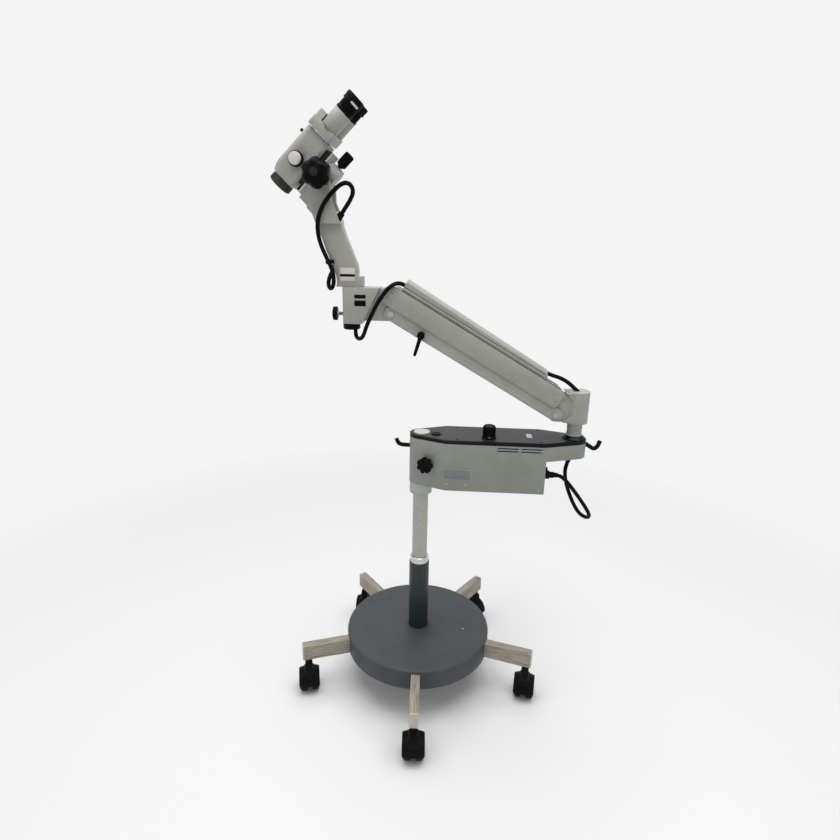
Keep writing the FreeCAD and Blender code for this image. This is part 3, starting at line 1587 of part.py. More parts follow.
base_disc()
star_legs()
leg_end_caps()
column()
for caster_number in range(1, int(leg_count.value) + 1):
    caster(caster_number)
box_housing()
box_lid()
box_fittings()
power_button()
brightness_knob()
swivel_lock_knob()
cable_hooks()
rear_head()
arm_cover()
cable_duct()
spring_cartridge()
arm_lower_link()
brake_lever()
front_head()
carrier()
tilt_group()
head_group()
cables()
doc.recompute()

faults = [
    f"{thing.Name} {thing.State}"
    for thing in doc.Objects
    if any(mark in ("Invalid", "Error") for mark in thing.State)
]
faults += [thing.Label for thing in nodes if thing.Shape.isNull() or not thing.Shape.isValid()]
if faults:
    raise RuntimeError(f"Not built: {faults}")

for label, (length, diameter) in cord.lengths.items():
    volume = doc.getObject(label).Shape.Volume
    print(label, "volume over section times length", round(volume / (math.pi * diameter**2 / 4 * length), 4))

os.makedirs("parts", exist_ok=True)
for thing in nodes:
    thing.Shape.exportStep(os.path.join("parts", f"{thing.Label}.step"))
print(len(nodes), "pieces written")
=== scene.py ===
"""A surgical microscope on its rolling stand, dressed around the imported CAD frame."""

import json
import logging
import math
from collections.abc import Callable, Sequence
from dataclasses import dataclass
from enum import Enum

import bmesh
import bpy
from mathutils import Matrix, Vector

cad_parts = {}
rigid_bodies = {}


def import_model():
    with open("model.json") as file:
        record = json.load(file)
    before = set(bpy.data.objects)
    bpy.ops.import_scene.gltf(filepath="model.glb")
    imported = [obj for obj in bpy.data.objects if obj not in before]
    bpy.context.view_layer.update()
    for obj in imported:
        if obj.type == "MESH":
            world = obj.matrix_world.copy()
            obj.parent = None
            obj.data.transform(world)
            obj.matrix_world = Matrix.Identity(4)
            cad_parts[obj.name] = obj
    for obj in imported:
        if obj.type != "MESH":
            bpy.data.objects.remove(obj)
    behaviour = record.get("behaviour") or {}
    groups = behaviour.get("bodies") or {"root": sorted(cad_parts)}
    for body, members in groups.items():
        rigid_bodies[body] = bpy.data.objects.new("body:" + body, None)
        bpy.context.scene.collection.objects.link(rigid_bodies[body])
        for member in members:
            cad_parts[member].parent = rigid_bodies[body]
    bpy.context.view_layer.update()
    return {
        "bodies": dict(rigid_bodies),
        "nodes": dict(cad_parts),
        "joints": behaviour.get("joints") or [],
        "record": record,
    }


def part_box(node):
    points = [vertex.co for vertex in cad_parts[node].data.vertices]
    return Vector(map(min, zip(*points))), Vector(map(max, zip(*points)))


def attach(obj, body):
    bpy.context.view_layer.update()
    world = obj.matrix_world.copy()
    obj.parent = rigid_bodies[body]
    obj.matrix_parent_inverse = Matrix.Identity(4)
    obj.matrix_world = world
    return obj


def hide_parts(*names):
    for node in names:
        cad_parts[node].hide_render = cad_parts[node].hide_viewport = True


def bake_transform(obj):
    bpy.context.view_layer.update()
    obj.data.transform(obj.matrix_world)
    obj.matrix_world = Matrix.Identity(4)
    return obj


LOG = logging.getLogger("microscope")
Point = tuple[float, float, float]
MM = 0.001


# Small tools


def linear(code: str) -> tuple[float, float, float, float]:
    """Turns an sRGB hex colour into linear values.

    Args:
        code: the colour, such as "#a0a19a".

    Returns:
        Linear red, green and blue, and an alpha of 1.
    """
    parts = [int(code[place : place + 2], 16) / 255 for place in (1, 3, 5)]
    flat = [part / 12.92 if part <= 0.04045 else ((part + 0.055) / 1.055) ** 2.4 for part in parts]
    return (flat[0], flat[1], flat[2], 1.0)


def add_node(
    tree: bpy.types.NodeTree, kind: str, settings: dict | None = None, **inputs: object
) -> bpy.types.Node:
    """Adds one node with its settings, values and links.

    Args:
        tree: the node tree.
        kind: the node's type.
        settings: properties of the node itself, such as its operation.
        **inputs: a value or an output socket for each named input, with _ for a space; a name
            that starts with at_ and a number is the input of that place.

    Returns:
        The new node.
    """
    node = tree.nodes.new(kind)
    for name, value in (settings or {}).items():
        setattr(node, name, value)
    for name, value in inputs.items():
        key = int(name[3:]) if name.startswith("at_") else name.replace("_", " ")
        if isinstance(value, bpy.types.NodeSocket):
            tree.links.new(value, node.inputs[key])
        else:
            node.inputs[key].default_value = value
    return node


class Surface(Enum):
    """How a finish's surface was made."""

    SPRAYED = "sprayed"
    MOULDED = "moulded"
    BRUSHED = "brushed"
    POLISHED = "polished"
    EXTRUDED = "extruded"
    GLASS = "glass"


@dataclass(frozen=True)
class Finish:
    """One finish: what it is made of, its colour and how its surface was made."""

    name: str
    slot: str
    colour: str
    worn: str
    surface: Surface
    roughness: float
    metallic: float = 0.0
    ior: float = 1.5
    grain_mm: float = 1.2
    bump: float = 0.06
    specular: float = 0.5

    def material(self) -> bpy.types.Material:
        """Gives the finish's material, made once.

        Returns:
            The material.
        """
        known = bpy.data.materials.get(self.name)
        if known is not None:
            return known
        made = bpy.data.materials.new(self.name)
        made.use_nodes = True
        tree = made.node_tree
        tree.nodes.clear()
        shader = add_node(
            tree,
            "ShaderNodeBsdfPrincipled",
            None,
            Metallic=self.metallic,
            IOR=self.ior,
            Specular_IOR_Level=self.specular,
        )
        out = add_node(tree, "ShaderNodeOutputMaterial", None, Surface=shader.outputs[0])
        out.location = (600, 0)
        place = add_node(tree, "ShaderNodeTexCoord").outputs["Object"]
        if self.surface is Surface.BRUSHED:
            place = add_node(tree, "ShaderNodeUVMap", {"uv_map": "grain"}).outputs[0]
            place = add_node(tree, "ShaderNodeMapping", None, Vector=place, Scale=(1.0, 26.0, 1.0)).outputs[0]
        # Slow changes of tone over the surface, as handling and age leave them
        cloud = add_node(
            tree, "ShaderNodeTexNoise", None, Vector=place, Scale=14.0, Detail=4.0, Roughness=0.6
        )
        tone = add_node(
            tree,
            "ShaderNodeMix",
            {"data_type": "RGBA"},
            Factor=add_node(
                tree, "ShaderNodeMapRange", None, Value=cloud.outputs[0], From_Min=0.42, From_Max=0.68
            ).outputs[0],
            A=linear(self.colour),
            B=linear(self.worn),
        )
        tree.links.new(tone.outputs["Result"], shader.inputs["Base Color"])
        # The fine grain of the surface, at its real size
        grain_scale = 1.0 / (self.grain_mm * MM * 2)
        grain = add_node(tree, "ShaderNodeTexNoise", None, Vector=place, Scale=grain_scale, Detail=2.0)
        rough = add_node(
            tree,
            "ShaderNodeMapRange",
            None,
            Value=grain.outputs[0],
            From_Min=0.3,
            From_Max=0.7,
            To_Min=max(self.roughness - 0.05, 0.02),
            To_Max=min(self.roughness + 0.07, 1.0),
        )
        tree.links.new(rough.outputs[0], shader.inputs["Roughness"])
        if self.bump:
            bump = add_node(
                tree, "ShaderNodeBump", None, Height=grain.outputs[0], Strength=self.bump, Distance=0.0006
            )
            tree.links.new(bump.outputs[0], shader.inputs["Normal"])
        if self.surface is Surface.GLASS:
            shader.inputs["Transmission Weight"].default_value = 0.75
        return made


class Finishes:
    """Every finish of this microscope."""

    # Sprayed two-part enamel over castings: a fine orange peel and a soft sheen
    ARM = Finish("sprayed_warm_grey_enamel", "grey_paint", "#a4a49c", "#9b9b93", Surface.SPRAYED, 0.42)
    BOX = Finish("sprayed_green_grey_enamel", "grey_paint", "#8f938a", "#888c83", Surface.SPRAYED, 0.45)
    DISC = Finish(
        "hammered_dark_enamel",
        "disc_paint",
        "#464b4f",
        "#41464a",
        Surface.SPRAYED,
        0.5,
        grain_mm=2.0,
        bump=0.1,
        specular=0.3,
    )
    SLEEVE = Finish(
        "sprayed_petrol_enamel", "sleeve_paint", "#273434", "#222f2f", Surface.SPRAYED, 0.38, specular=0.35
    )
    LID = Finish(
        "sprayed_slate_enamel", "lid_paint", "#333437", "#2c2d31", Surface.SPRAYED, 0.4, specular=0.2
    )
    LID_EDGE = Finish(
        "glossed_edge_enamel", "lid_paint", "#070c13", "#0a0f16", Surface.SPRAYED, 0.24, bump=0.02,
        specular=0.15
    )
    # Extruded aluminium, drawn through a worn die and tarnished along its length
    LEG = Finish(
        "drawn_leg_aluminium", "leg_alloy", "#aca494", "#635c50", Surface.BRUSHED, 0.5, 0.3, bump=0.14
    )
    LEG_END = Finish("bare_end_aluminium", "pale_plate", "#c9c2b3", "#b3ac9d", Surface.EXTRUDED, 0.45, 0.3)
    TUBE = Finish(
        "anodised_column_aluminium", "steel_tube", "#a6a7a0", "#9fa09a", Surface.EXTRUDED, 0.3, 0.7,
        bump=0.0
    )
    CHROME = Finish(
        "chromed_collar_steel", "chrome_ring", "#c6c7c5", "#bbbdbb", Surface.POLISHED, 0.14, 1.0, bump=0.0
    )
    PIN = Finish("turned_pin_steel", "steel_tube", "#a9aaa5", "#9fa09b", Surface.EXTRUDED, 0.45, 0.6)
    RAIL = Finish("ground_rail_steel", "steel_tube", "#b4b5b1", "#a6a7a3", Surface.EXTRUDED, 0.28, 0.85)
    # Injection-moulded ABS: a spark-eroded grain that scatters the light
    BLACK = Finish(
        "moulded_black_abs",
        "black_plastic",
        "#0d0d0e",
        "#131314",
        Surface.MOULDED,
        0.42,
        grain_mm=0.8,
        bump=0.1,
        specular=0.06,
    )
    GLOSS = Finish(
        "polished_black_phenolic",
        "gloss_black",
        "#070708",
        "#0a0a0b",
        Surface.POLISHED,
        0.2,
        bump=0.0,
        specular=0.06,
    )
    TREAD = Finish(
        "cast_wheel_urethane", "wheel_rubber", "#080808", "#0d0d0c", Surface.MOULDED, 0.45, bump=0.08,
        specular=0.08
    )
    SHEATH = Finish(
        "extruded_black_pvc", "cable_sheath", "#090909", "#0d0d0d", Surface.EXTRUDED, 0.45, bump=0.05,
        specular=0.06
    )
    RUBBER = Finish(
        "moulded_eyecup_rubber",
        "black_plastic",
        "#0d0d0e",
        "#131314",
        Surface.MOULDED,
        0.6,
        grain_mm=0.6,
        specular=0.06,
    )
    RING = Finish(
        "anodised_ring_aluminium", "black_plastic", "#22231f", "#2b2c27", Surface.EXTRUDED, 0.38, 0.2
    )
    WHITE = Finish("white_knob_enamel", "pale_plate", "#d8d5d0", "#cfccc7", Surface.SPRAYED, 0.35, bump=0.03)
    # Painted highlight: a pale finish for the duct's beads that stands for the light along their tops
    BEAD_HIGHLIGHT = Finish("painted_bead_highlight", "pale_plate", "#bfc0ba", "#b4b5af", Surface.EXTRUDED, 0.4, 0.3)
    PLATE_SIDE = Finish(
        "stamped_plate_aluminium", "pale_plate", "#9a9d9b", "#909392", Surface.EXTRUDED, 0.4, 0.2
    )
    PLATE_FACE = Finish(
        "etched_plate_aluminium", "pale_plate", "#7b8181", "#72787a", Surface.EXTRUDED, 0.42, 0.2
    )
    # Tool steel, ground and then blacked in a hot salt bath
    BLACKED = Finish(
        "blacked_tool_steel", "black_plastic", "#1c1d1b", "#232422", Surface.EXTRUDED, 0.38, 0.4, specular=0.3
    )
    # Painted shade: a dull dark strip that stands for the shade in the gaps along the cable duct
    GAP_SHADE = Finish(
        "painted_gap_shade", "black_plastic", "#4a4b45", "#42433e", Surface.MOULDED, 0.7, specular=0.1
    )
    WINDOW = Finish(
        "pale_window_acrylic", "pale_plate", "#c9cbc8", "#c2c4c1", Surface.POLISHED, 0.2, bump=0.0
    )
    INNER = Finish("pressed_inner_steel", "inner_metal", "#8a8b8c", "#7f8081", Surface.EXTRUDED, 0.45, 0.5)
    GLASS = Finish(
        "coated_lens_glass", "lens_glass", "#a9c4b8", "#9fb8c8", Surface.GLASS, 0.04, ior=1.52, bump=0.0
    )


@dataclass(frozen=True)
class Layout:
    """The places that the pieces share, in the part's frame, in metres."""

    optic_slope: float = math.radians(45)
    arm_slope: float = math.radians(30)
    arm_length: float = 0.523
    lid_top: float = 0.811
    rear_low: tuple[float, float] = (0.365, 0.881)
    link_gap: float = 0.048

    @property
    def front_low(self) -> tuple[float, float]:
        """The lower front pivot, along X and Z."""
        x, z = self.rear_low
        run, rise = math.cos(self.arm_slope), math.sin(self.arm_slope)
        return (x - self.arm_length * run, z + self.arm_length * rise)

    @property
    def front_high(self) -> tuple[float, float]:
        """The upper front pivot, along X and Z."""
        x, z = self.front_low
        return (x, z + self.link_gap)

    @property
    def swivel_x(self) -> float:
        """The carrier's swivel axis."""
        return self.front_low[0] - 0.108

    @property
    def tilt(self) -> tuple[float, float]:
        """The tilt axis, along X and Z."""
        return (self.swivel_x - 0.071, self.front_high[1] + 0.0195 + 0.0003 + 0.272)

    @property
    def head(self) -> Matrix:
        """The head's own frame: X along the optical axis to the eyes, Z up across it."""
        x, z = self.tilt
        along, across = Vector((1, 0, 1)).normalized(), Vector((-1, 0, 1)).normalized()
        origin = Vector((x, 0, z)) - along * 0.010 + across * 0.061
        turn = Matrix.Rotation(-self.optic_slope, 4, "Y")
        return Matrix.Translation(origin) @ turn

    @property
    def cover(self) -> Matrix:
        """The arm cover's frame: X from the front pivot to the rear one, Z away from the arm."""
        x, z = self.front_high
        return Matrix.Translation((x, 0, z)) @ Matrix.Rotation(self.arm_slope, 4, "Y")


LAYOUT = Layout()


class Bench:
    """What every sub-assembly uses to make, place and dress its pieces."""

    def __init__(self, frame: dict) -> None:
        """Keeps the loaded frame.
        """
        self.nodes: dict[str, bpy.types.Object] = frame["nodes"]
        self.count = 0

    def own(
        self, name: str, mesh: bpy.types.Mesh, body: str, finish: Finish, stands_for: Sequence[str] = ()
    ) -> bpy.types.Object:
        """Makes a piece of a finished mesh, and lets it ride on its body.

        Args:
            name: the piece's name.
            mesh: its mesh, in the part's frame.
            body: the CAD body that it rides on.
            finish: its finish, used where the mesh has no materials yet.
            stands_for: CAD nodes that it is shown in place of.

        Returns:
            The new object.
        """
        if not mesh.materials:
            mesh.materials.append(finish.material())
        piece = bpy.data.objects.new(name, mesh)
        bpy.context.scene.collection.objects.link(piece)
        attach(piece, body)
        if stands_for:
            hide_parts(*stands_for)
        self.count += 1
        LOG.info("%s on %s in %s", name, body, finish.name)
        return piece

    def paint(self, node: str, finish: Finish) -> bpy.types.Object:
        """Gives a carried-over CAD node its finish.

        Args:
            node: the CAD node's name.
            finish: the finish.

        Returns:
            The node's object.
        """
        piece = self.nodes[node]
        piece.data.materials.clear()
        piece.data.materials.append(finish.material())
        self.count += 1
        LOG.info("%s stays as the frame has it, in %s", node, finish.name)
        return piece

    def merged(self, node: str) -> bmesh.types.BMesh:
        """Copies a CAD node's mesh with its loose triangles joined and its flat faces made whole.

        Args:
            node: the CAD node's name.

        Returns:
            The copy.
        """
        shape = bmesh.new()
        shape.from_mesh(self.nodes[node].data)
        bmesh.ops.remove_doubles(shape, verts=shape.verts, dist=2e-6)
        bmesh.ops.dissolve_limit(
            shape, angle_limit=math.radians(0.6), verts=shape.verts, edges=shape.edges, delimit={"NORMAL"}
        )
        return shape

    def soften(
        self, node: str, body: str, finish: Finish, width: float, corner: float = 32.0
    ) -> bpy.types.Object:
        """Stands a copy of a CAD node in its place, with its sharp edges rounded as a real casting's are.

        Args:
            node: the CAD node's name.
            body: the CAD body that it rides on.
            finish: its finish.
            width: the rounding's width, in metres.
            corner: the least angle of an edge that is rounded, in degrees.

        Returns:
            The new object.
        """
        shape = self.merged(node)
        mesh = bpy.data.meshes.new(f"{node}_skin")
        for face in shape.faces:
            face.smooth = True
        shape.to_mesh(mesh)
        shape.free()
        mesh.materials.append(finish.material())
        holder = bpy.data.objects.new(f"{node}_skin", mesh)
        bpy.context.scene.collection.objects.link(holder)
        bevel = holder.modifiers.new("edges", "BEVEL")
        bevel.width = width
        bevel.segments = 2
        bevel.limit_method = "ANGLE"
        bevel.angle_limit = math.radians(corner)
        bevel.harden_normals = True
        bevel.use_clamp_overlap = True
        done = bpy.data.meshes.new_from_object(holder.evaluated_get(bpy.context.evaluated_depsgraph_get()))
        bpy.data.objects.remove(holder)
        done.name = f"{node}_skin"
        return self.own(f"{node}_skin", done, body, finish, [node])


# Mesh tools


def facing(origin: Sequence[float], axis: Sequence[float], up: Sequence[float] = (0, 0, 1)) -> Matrix:
    """Gives a place whose X runs along an axis.

    Args:
        origin: where it starts.
        axis: where its X points.
        up: roughly where its Z points.

    Returns:
        The place.
    """
    along = Vector(axis).normalized()
    side = Vector(up).cross(along)
    if side.length < 1e-6:
        side = Vector((0, 1, 0))
    side.normalize()
    high = along.cross(side)
    turn = Matrix((along, side, high)).transposed().to_4x4()
    return Matrix.Translation(Vector(origin)) @ turn


def lathe(
    profile: Sequence[tuple[float, float]],
    segments: int = 48,
    ripple: Callable[[float, float, float], float] | None = None,
) -> bmesh.types.BMesh:
    """Turns a profile round the X axis and closes it.

    Args:
        profile: pairs of place along the axis and radius, in millimetres.
        segments: how many steps the turn has.
        ripple: gives the radius at an angle, a place and a plain radius.

    Returns:
        The shape, in metres.
    """
    shape = bmesh.new()
    rings = []
    for along, radius in profile:
        if radius < 1e-6:
            rings.append([shape.verts.new((along * MM, 0, 0))])
            continue
        ring = []
        for step in range(segments):
            angle = 2 * math.pi * step / segments
            reach = ripple(angle, along, radius) if ripple else radius
            ring.append(
                shape.verts.new((along * MM, reach * MM * math.cos(angle), reach * MM * math.sin(angle)))
            )
        rings.append(ring)
    for first, second in zip(rings, rings[1:]):
        for step in range(segments):
            after = (step + 1) % segments
            corners = [
                first[step % len(first)], first[after % len(first)], second[after % len(second)],
                second[step % len(second)]
            ]
            face = list(dict.fromkeys(corners))
            if len(face) > 2:
                shape.faces.new(face)
    if len(rings[0]) > 1 and rings[0] is not rings[-1]:
        shape.faces.new(rings[0])
    if len(rings[-1]) > 1:
        shape.faces.new(rings[-1])
    return shape


def hollow(profile: Sequence[tuple[float, float]], segments: int) -> bmesh.types.BMesh:
    """Turns a profile round the X axis and closes it on itself, so that it has a bore.

    Args:
        profile: the outline of half its section, in millimetres.
        segments: how many steps the turn has.

    Returns:
        The shape, in metres.
    """
    shape = lathe(profile, segments)
    caps = [face for face in shape.faces if len(face.verts) == segments]
    bmesh.ops.delete(shape, geom=caps, context="FACES_ONLY")
    open_edges = [edge for edge in shape.edges if edge.is_boundary]
    bmesh.ops.bridge_loops(shape, edges=open_edges)
    return shape


def prism(
    outline: Sequence[tuple[float, float]], low: float, high: float, rounding: float = 0.0
) -> bmesh.types.BMesh:
    """Raises an outline in X and Z along Y, with rounded edges.

    Args:
        outline: its corners, in millimetres.
        low: where it starts along Y, in millimetres.
        high: where it ends along Y, in millimetres.
        rounding: the edges' rounding, in millimetres.

    Returns:
        The shape, in metres.
    """
    shape = bmesh.new()
    floor = [shape.verts.new((x * MM, low * MM, z * MM)) for x, z in outline]
    face = shape.faces.new(floor)
    raised = bmesh.ops.extrude_face_region(shape, geom=[face])
    moved = [item for item in raised["geom"] if isinstance(item, bmesh.types.BMVert)]
    bmesh.ops.translate(shape, vec=(0, (high - low) * MM, 0), verts=moved)
    bmesh.ops.recalc_face_normals(shape, faces=shape.faces)
    if rounding:
        bmesh.ops.bevel(
            shape,
            geom=list(shape.edges),
            offset=rounding * MM,
            segments=2,
            profile=0.5,
            affect="EDGES",
            clamp_overlap=True,
        )
    return shape


def box_shape(low: Point, high: Point, rounding: float = 0.0) -> bmesh.types.BMesh:
    """Makes a block between two corners, with rounded edges.

    Args:
        low: its lowest corner, in millimetres.
        high: its highest corner, in millimetres.
        rounding: the edges' rounding, in millimetres.

    Returns:
        The shape, in metres.
    """
    outline = [(low[0], low[2]), (high[0], low[2]), (high[0], high[2]), (low[0], high[2])]
    return prism(outline, low[1], high[1], rounding)


def settle(
    shapes: Sequence[bmesh.types.BMesh],
    place: Matrix | None = None,
    finishes: Sequence[Finish] = (),
    corner: float = 30.0,
) -> bpy.types.Mesh:
    """Joins shapes to one mesh in place, facing outwards and smooth up to its corners.

    Args:
        shapes: the shapes, which are used up.
        place: where they go.
        finishes: a finish for each shape, where the mesh has several.
        corner: the angle from which an edge stays sharp, in degrees.

    Returns:
        The mesh.
    """
    whole = bmesh.new()
    for number, shape in enumerate(shapes):
        bmesh.ops.recalc_face_normals(shape, faces=shape.faces)
        for face in shape.faces:
            face.material_index = min(number, max(len(finishes) - 1, 0))
            face.smooth = True
        part = bpy.data.meshes.new("part")
        shape.to_mesh(part)
        shape.free()
        whole.from_mesh(part)
        bpy.data.meshes.remove(part)
    mesh = bpy.data.meshes.new("piece")
    if place is not None:
        whole.transform(place)
    whole.to_mesh(mesh)
    whole.free()
    for finish in finishes:
        mesh.materials.append(finish.material())
    mesh.set_sharp_from_angle(angle=math.radians(corner))
    return mesh


def rounded(
    points: Sequence[tuple[float, float]], radius: float, steps: int = 3
) -> list[tuple[float, float]]:
    """Rounds the corners of an open profile.

    Args:
        points: the profile's points, in millimetres.
        radius: the rounding, in millimetres.
        steps: how many points each corner gets besides its ends.

    Returns:
        The rounded profile.
    """
    soft = [points[0]]
    for before, here, after in zip(points, points[1:], points[2:]):
        at, back, on = Vector(here), Vector(before), Vector(after)
        inward, outward = (back - at), (on - at)
        reach = min(radius, inward.length * 0.45, outward.length * 0.45)
        start, end = at + inward.normalized() * reach, at + outward.normalized() * reach
        for step in range(steps + 1):
            share = step / steps
            spot = start.lerp(at, share).lerp(at.lerp(end, share), share)
            soft.append((spot.x, spot.y))
    soft.append(points[-1])
    return soft


# Repeated things, made by Geometry Nodes


class NodeRecipe:
    """A Geometry Nodes tree with named inputs, built once and run to a plain mesh."""

    name = "recipe"
    inputs: tuple[tuple[str, str, object], ...] = ()

    def tree(self) -> bpy.types.NodeTree:
        """Gives the recipe's tree, built the first time.

        Returns:
            The tree.
        """
        known = bpy.data.node_groups.get(self.name)
        if known is not None:
            return known
        made = bpy.data.node_groups.new(self.name, "GeometryNodeTree")
        made.interface.new_socket("Geometry", in_out="INPUT", socket_type="NodeSocketGeometry")
        for label, kind, value in self.inputs:
            socket = made.interface.new_socket(label, in_out="INPUT", socket_type=kind)
            if value is not None:
                socket.default_value = value
        made.interface.new_socket("Material", in_out="INPUT", socket_type="NodeSocketMaterial")
        made.interface.new_socket("Geometry", in_out="OUTPUT", socket_type="NodeSocketGeometry")
        given = made.nodes.new("NodeGroupInput")
        result = self.wire(made, given)
        real = add_node(made, "GeometryNodeRealizeInstances", None, Geometry=result)
        painted = add_node(
            made, "GeometryNodeSetMaterial", None, Geometry=real.outputs[0],
            Material=given.outputs["Material"]
        )
        add_node(made, "NodeGroupOutput", None, Geometry=painted.outputs[0])
        return made

    def wire(self, tree: bpy.types.NodeTree, given: bpy.types.Node) -> bpy.types.NodeSocket:
        """Adds the recipe's own nodes, and gives the socket with its geometry."""
        raise NotImplementedError

    def run(self, start: bpy.types.Mesh, values: dict[str, object], finish: Finish) -> bpy.types.Mesh:
        """Runs the tree on a mesh.

        Args:
            start: the mesh it starts from.
            values: a value for each named input.
            finish: the result's finish.

        Returns:
            The plain mesh.
        """
        holder = bpy.data.objects.new("recipe_holder", start)
        bpy.context.scene.collection.objects.link(holder)
        modifier = holder.modifiers.new("recipe", "NODES")
        modifier.node_group = self.tree()
        values = {**values, "Material": finish.material()}
        for item in modifier.node_group.interface.items_tree:
            if item.item_type == "SOCKET" and item.in_out == "INPUT" and item.name in values:
                modifier[item.identifier] = values[item.name]
        graph = bpy.context.evaluated_depsgraph_get()
        done = bpy.data.meshes.new_from_object(holder.evaluated_get(graph))
        holder.modifiers.remove(modifier)
        bpy.data.objects.remove(holder)
        for face in done.polygons:
            face.use_smooth = True
        done.set_sharp_from_angle(angle=math.radians(30))
        return done


class RibRing(NodeRecipe):
    """Ribs set round a circle about X, as a grip has them."""

    name = "grip_ribs"
    inputs = (
        ("Count", "NodeSocketInt", 24),
        ("Radius", "NodeSocketFloat", 0.01),
        ("Width", "NodeSocketFloat", 0.001),
        ("Height", "NodeSocketFloat", 0.001),
        ("Length", "NodeSocketFloat", 0.01),
    )

    def wire(self, tree: bpy.types.NodeTree, given: bpy.types.Node) -> bpy.types.NodeSocket:
        """Adds the circle of points and a rib on each."""
        take = given.outputs
        ring = add_node(tree, "GeometryNodeMeshCircle", None, Vertices=take["Count"], Radius=take["Radius"])
        size = add_node(
            tree, "ShaderNodeCombineXYZ", None, X=take["Height"], Y=take["Width"], Z=take["Length"]
        )
        rib = add_node(tree, "GeometryNodeMeshCube", None, Size=size.outputs[0])
        spot = add_node(tree, "GeometryNodeInputPosition")
        turn = add_node(tree, "FunctionNodeAlignRotationToVector", {"axis": "X"}, Vector=spot.outputs[0])
        placed = add_node(
            tree,
            "GeometryNodeInstanceOnPoints",
            None,
            Points=ring.outputs[0],
            Instance=rib.outputs[0],
            Rotation=turn.outputs[0],
        )
        # The circle lies across Z, and a lathe's axis is X
        return add_node(
            tree, "GeometryNodeTransform", None, Geometry=placed.outputs[0], Rotation=(0, math.pi / 2, 0)
        ).outputs[0]

    def mesh(
        self, place: Matrix, count: int, radius: float, width: float, height: float, start: float,
        length: float, finish: Finish
    ) -> bpy.types.Mesh:
        """Makes the ribs of one grip.

        Args:
            place: the grip's place, its axis along X.
            count: how many ribs.
            radius: the radius of their middles, in millimetres.
            width: their width round the grip.
            height: their height out of it.
            start: where they start along the axis.
            length: their length along it.
            finish: their finish.

        Returns:
            The ribs in place.
        """
        values = {
            "Count": count,
            "Radius": radius * MM,
            "Width": width * MM,
            "Height": height * MM,
            "Length": length * MM,
        }
        done = self.run(bpy.data.meshes.new("ribs"), values, finish)
        done.transform(place @ Matrix.Translation(((start + length / 2) * MM, 0, 0)))
        return done


class ScrewSet(NodeRecipe):
    """Socket screws standing on given points, each along its own direction."""

    name = "socket_screws"
    inputs = (("Radius", "NodeSocketFloat", 0.003), ("Height", "NodeSocketFloat", 0.0012))

    def wire(self, tree: bpy.types.NodeTree, given: bpy.types.Node) -> bpy.types.NodeSocket:
        """Adds the screw's head with its six-sided socket, and sets one on each point."""
        take = given.outputs
        head = add_node(
            tree, "GeometryNodeMeshCylinder", None, Vertices=24, Radius=take["Radius"], Depth=take["Height"]
        )
        half = add_node(tree, "ShaderNodeMath", {"operation": "MULTIPLY"}, at_0=take["Radius"], at_1=0.5)
        key = add_node(
            tree, "GeometryNodeMeshCylinder", None, Vertices=6, Radius=half.outputs[0], Depth=take["Height"]
        )
        lift = add_node(tree, "ShaderNodeMath", {"operation": "MULTIPLY"}, at_0=take["Height"], at_1=0.5)
        up = add_node(tree, "ShaderNodeCombineXYZ", None, Z=lift.outputs[0])
        raised = add_node(
            tree, "GeometryNodeTransform", None, Geometry=key.outputs[0], Translation=up.outputs[0]
        )
        cut = add_node(
            tree, "GeometryNodeMeshBoolean", {"operation": "DIFFERENCE"}, Mesh_1=head.outputs[0],
            Mesh_2=raised.outputs[0]
        )
        way = add_node(tree, "GeometryNodeInputNamedAttribute", {"data_type": "FLOAT_VECTOR"}, Name="facing")
        turn = add_node(tree, "FunctionNodeAlignRotationToVector", {"axis": "Z"}, Vector=way.outputs[0])
        return add_node(
            tree,
            "GeometryNodeInstanceOnPoints",
            None,
            Points=take["Geometry"],
            Instance=cut.outputs[0],
            Rotation=turn.outputs[0],
        ).outputs[0]

    def mesh(
        self, spots: Sequence[tuple[Point, Point]], radius: float, height: float, finish: Finish
    ) -> bpy.types.Mesh:
        """Makes a set of screws.

        Args:
            spots: a point and a direction for each, in metres in the part's frame.
            radius: the heads' radius, in millimetres.
            height: the heads' height, in millimetres.
            finish: their finish.

        Returns:
            The screws in place.
        """
        start = bpy.data.meshes.new("screws")
        start.from_pydata([point for point, _ in spots], [], [])
        ways = start.attributes.new("facing", "FLOAT_VECTOR", "POINT")
        for number, (_, way) in enumerate(spots):
            ways.data[number].vector = way
        return self.run(start, {"Radius": radius * MM, "Height": height * MM}, finish)


RIBS = RibRing()
SCREWS = ScrewSet()


# The studio and the camera


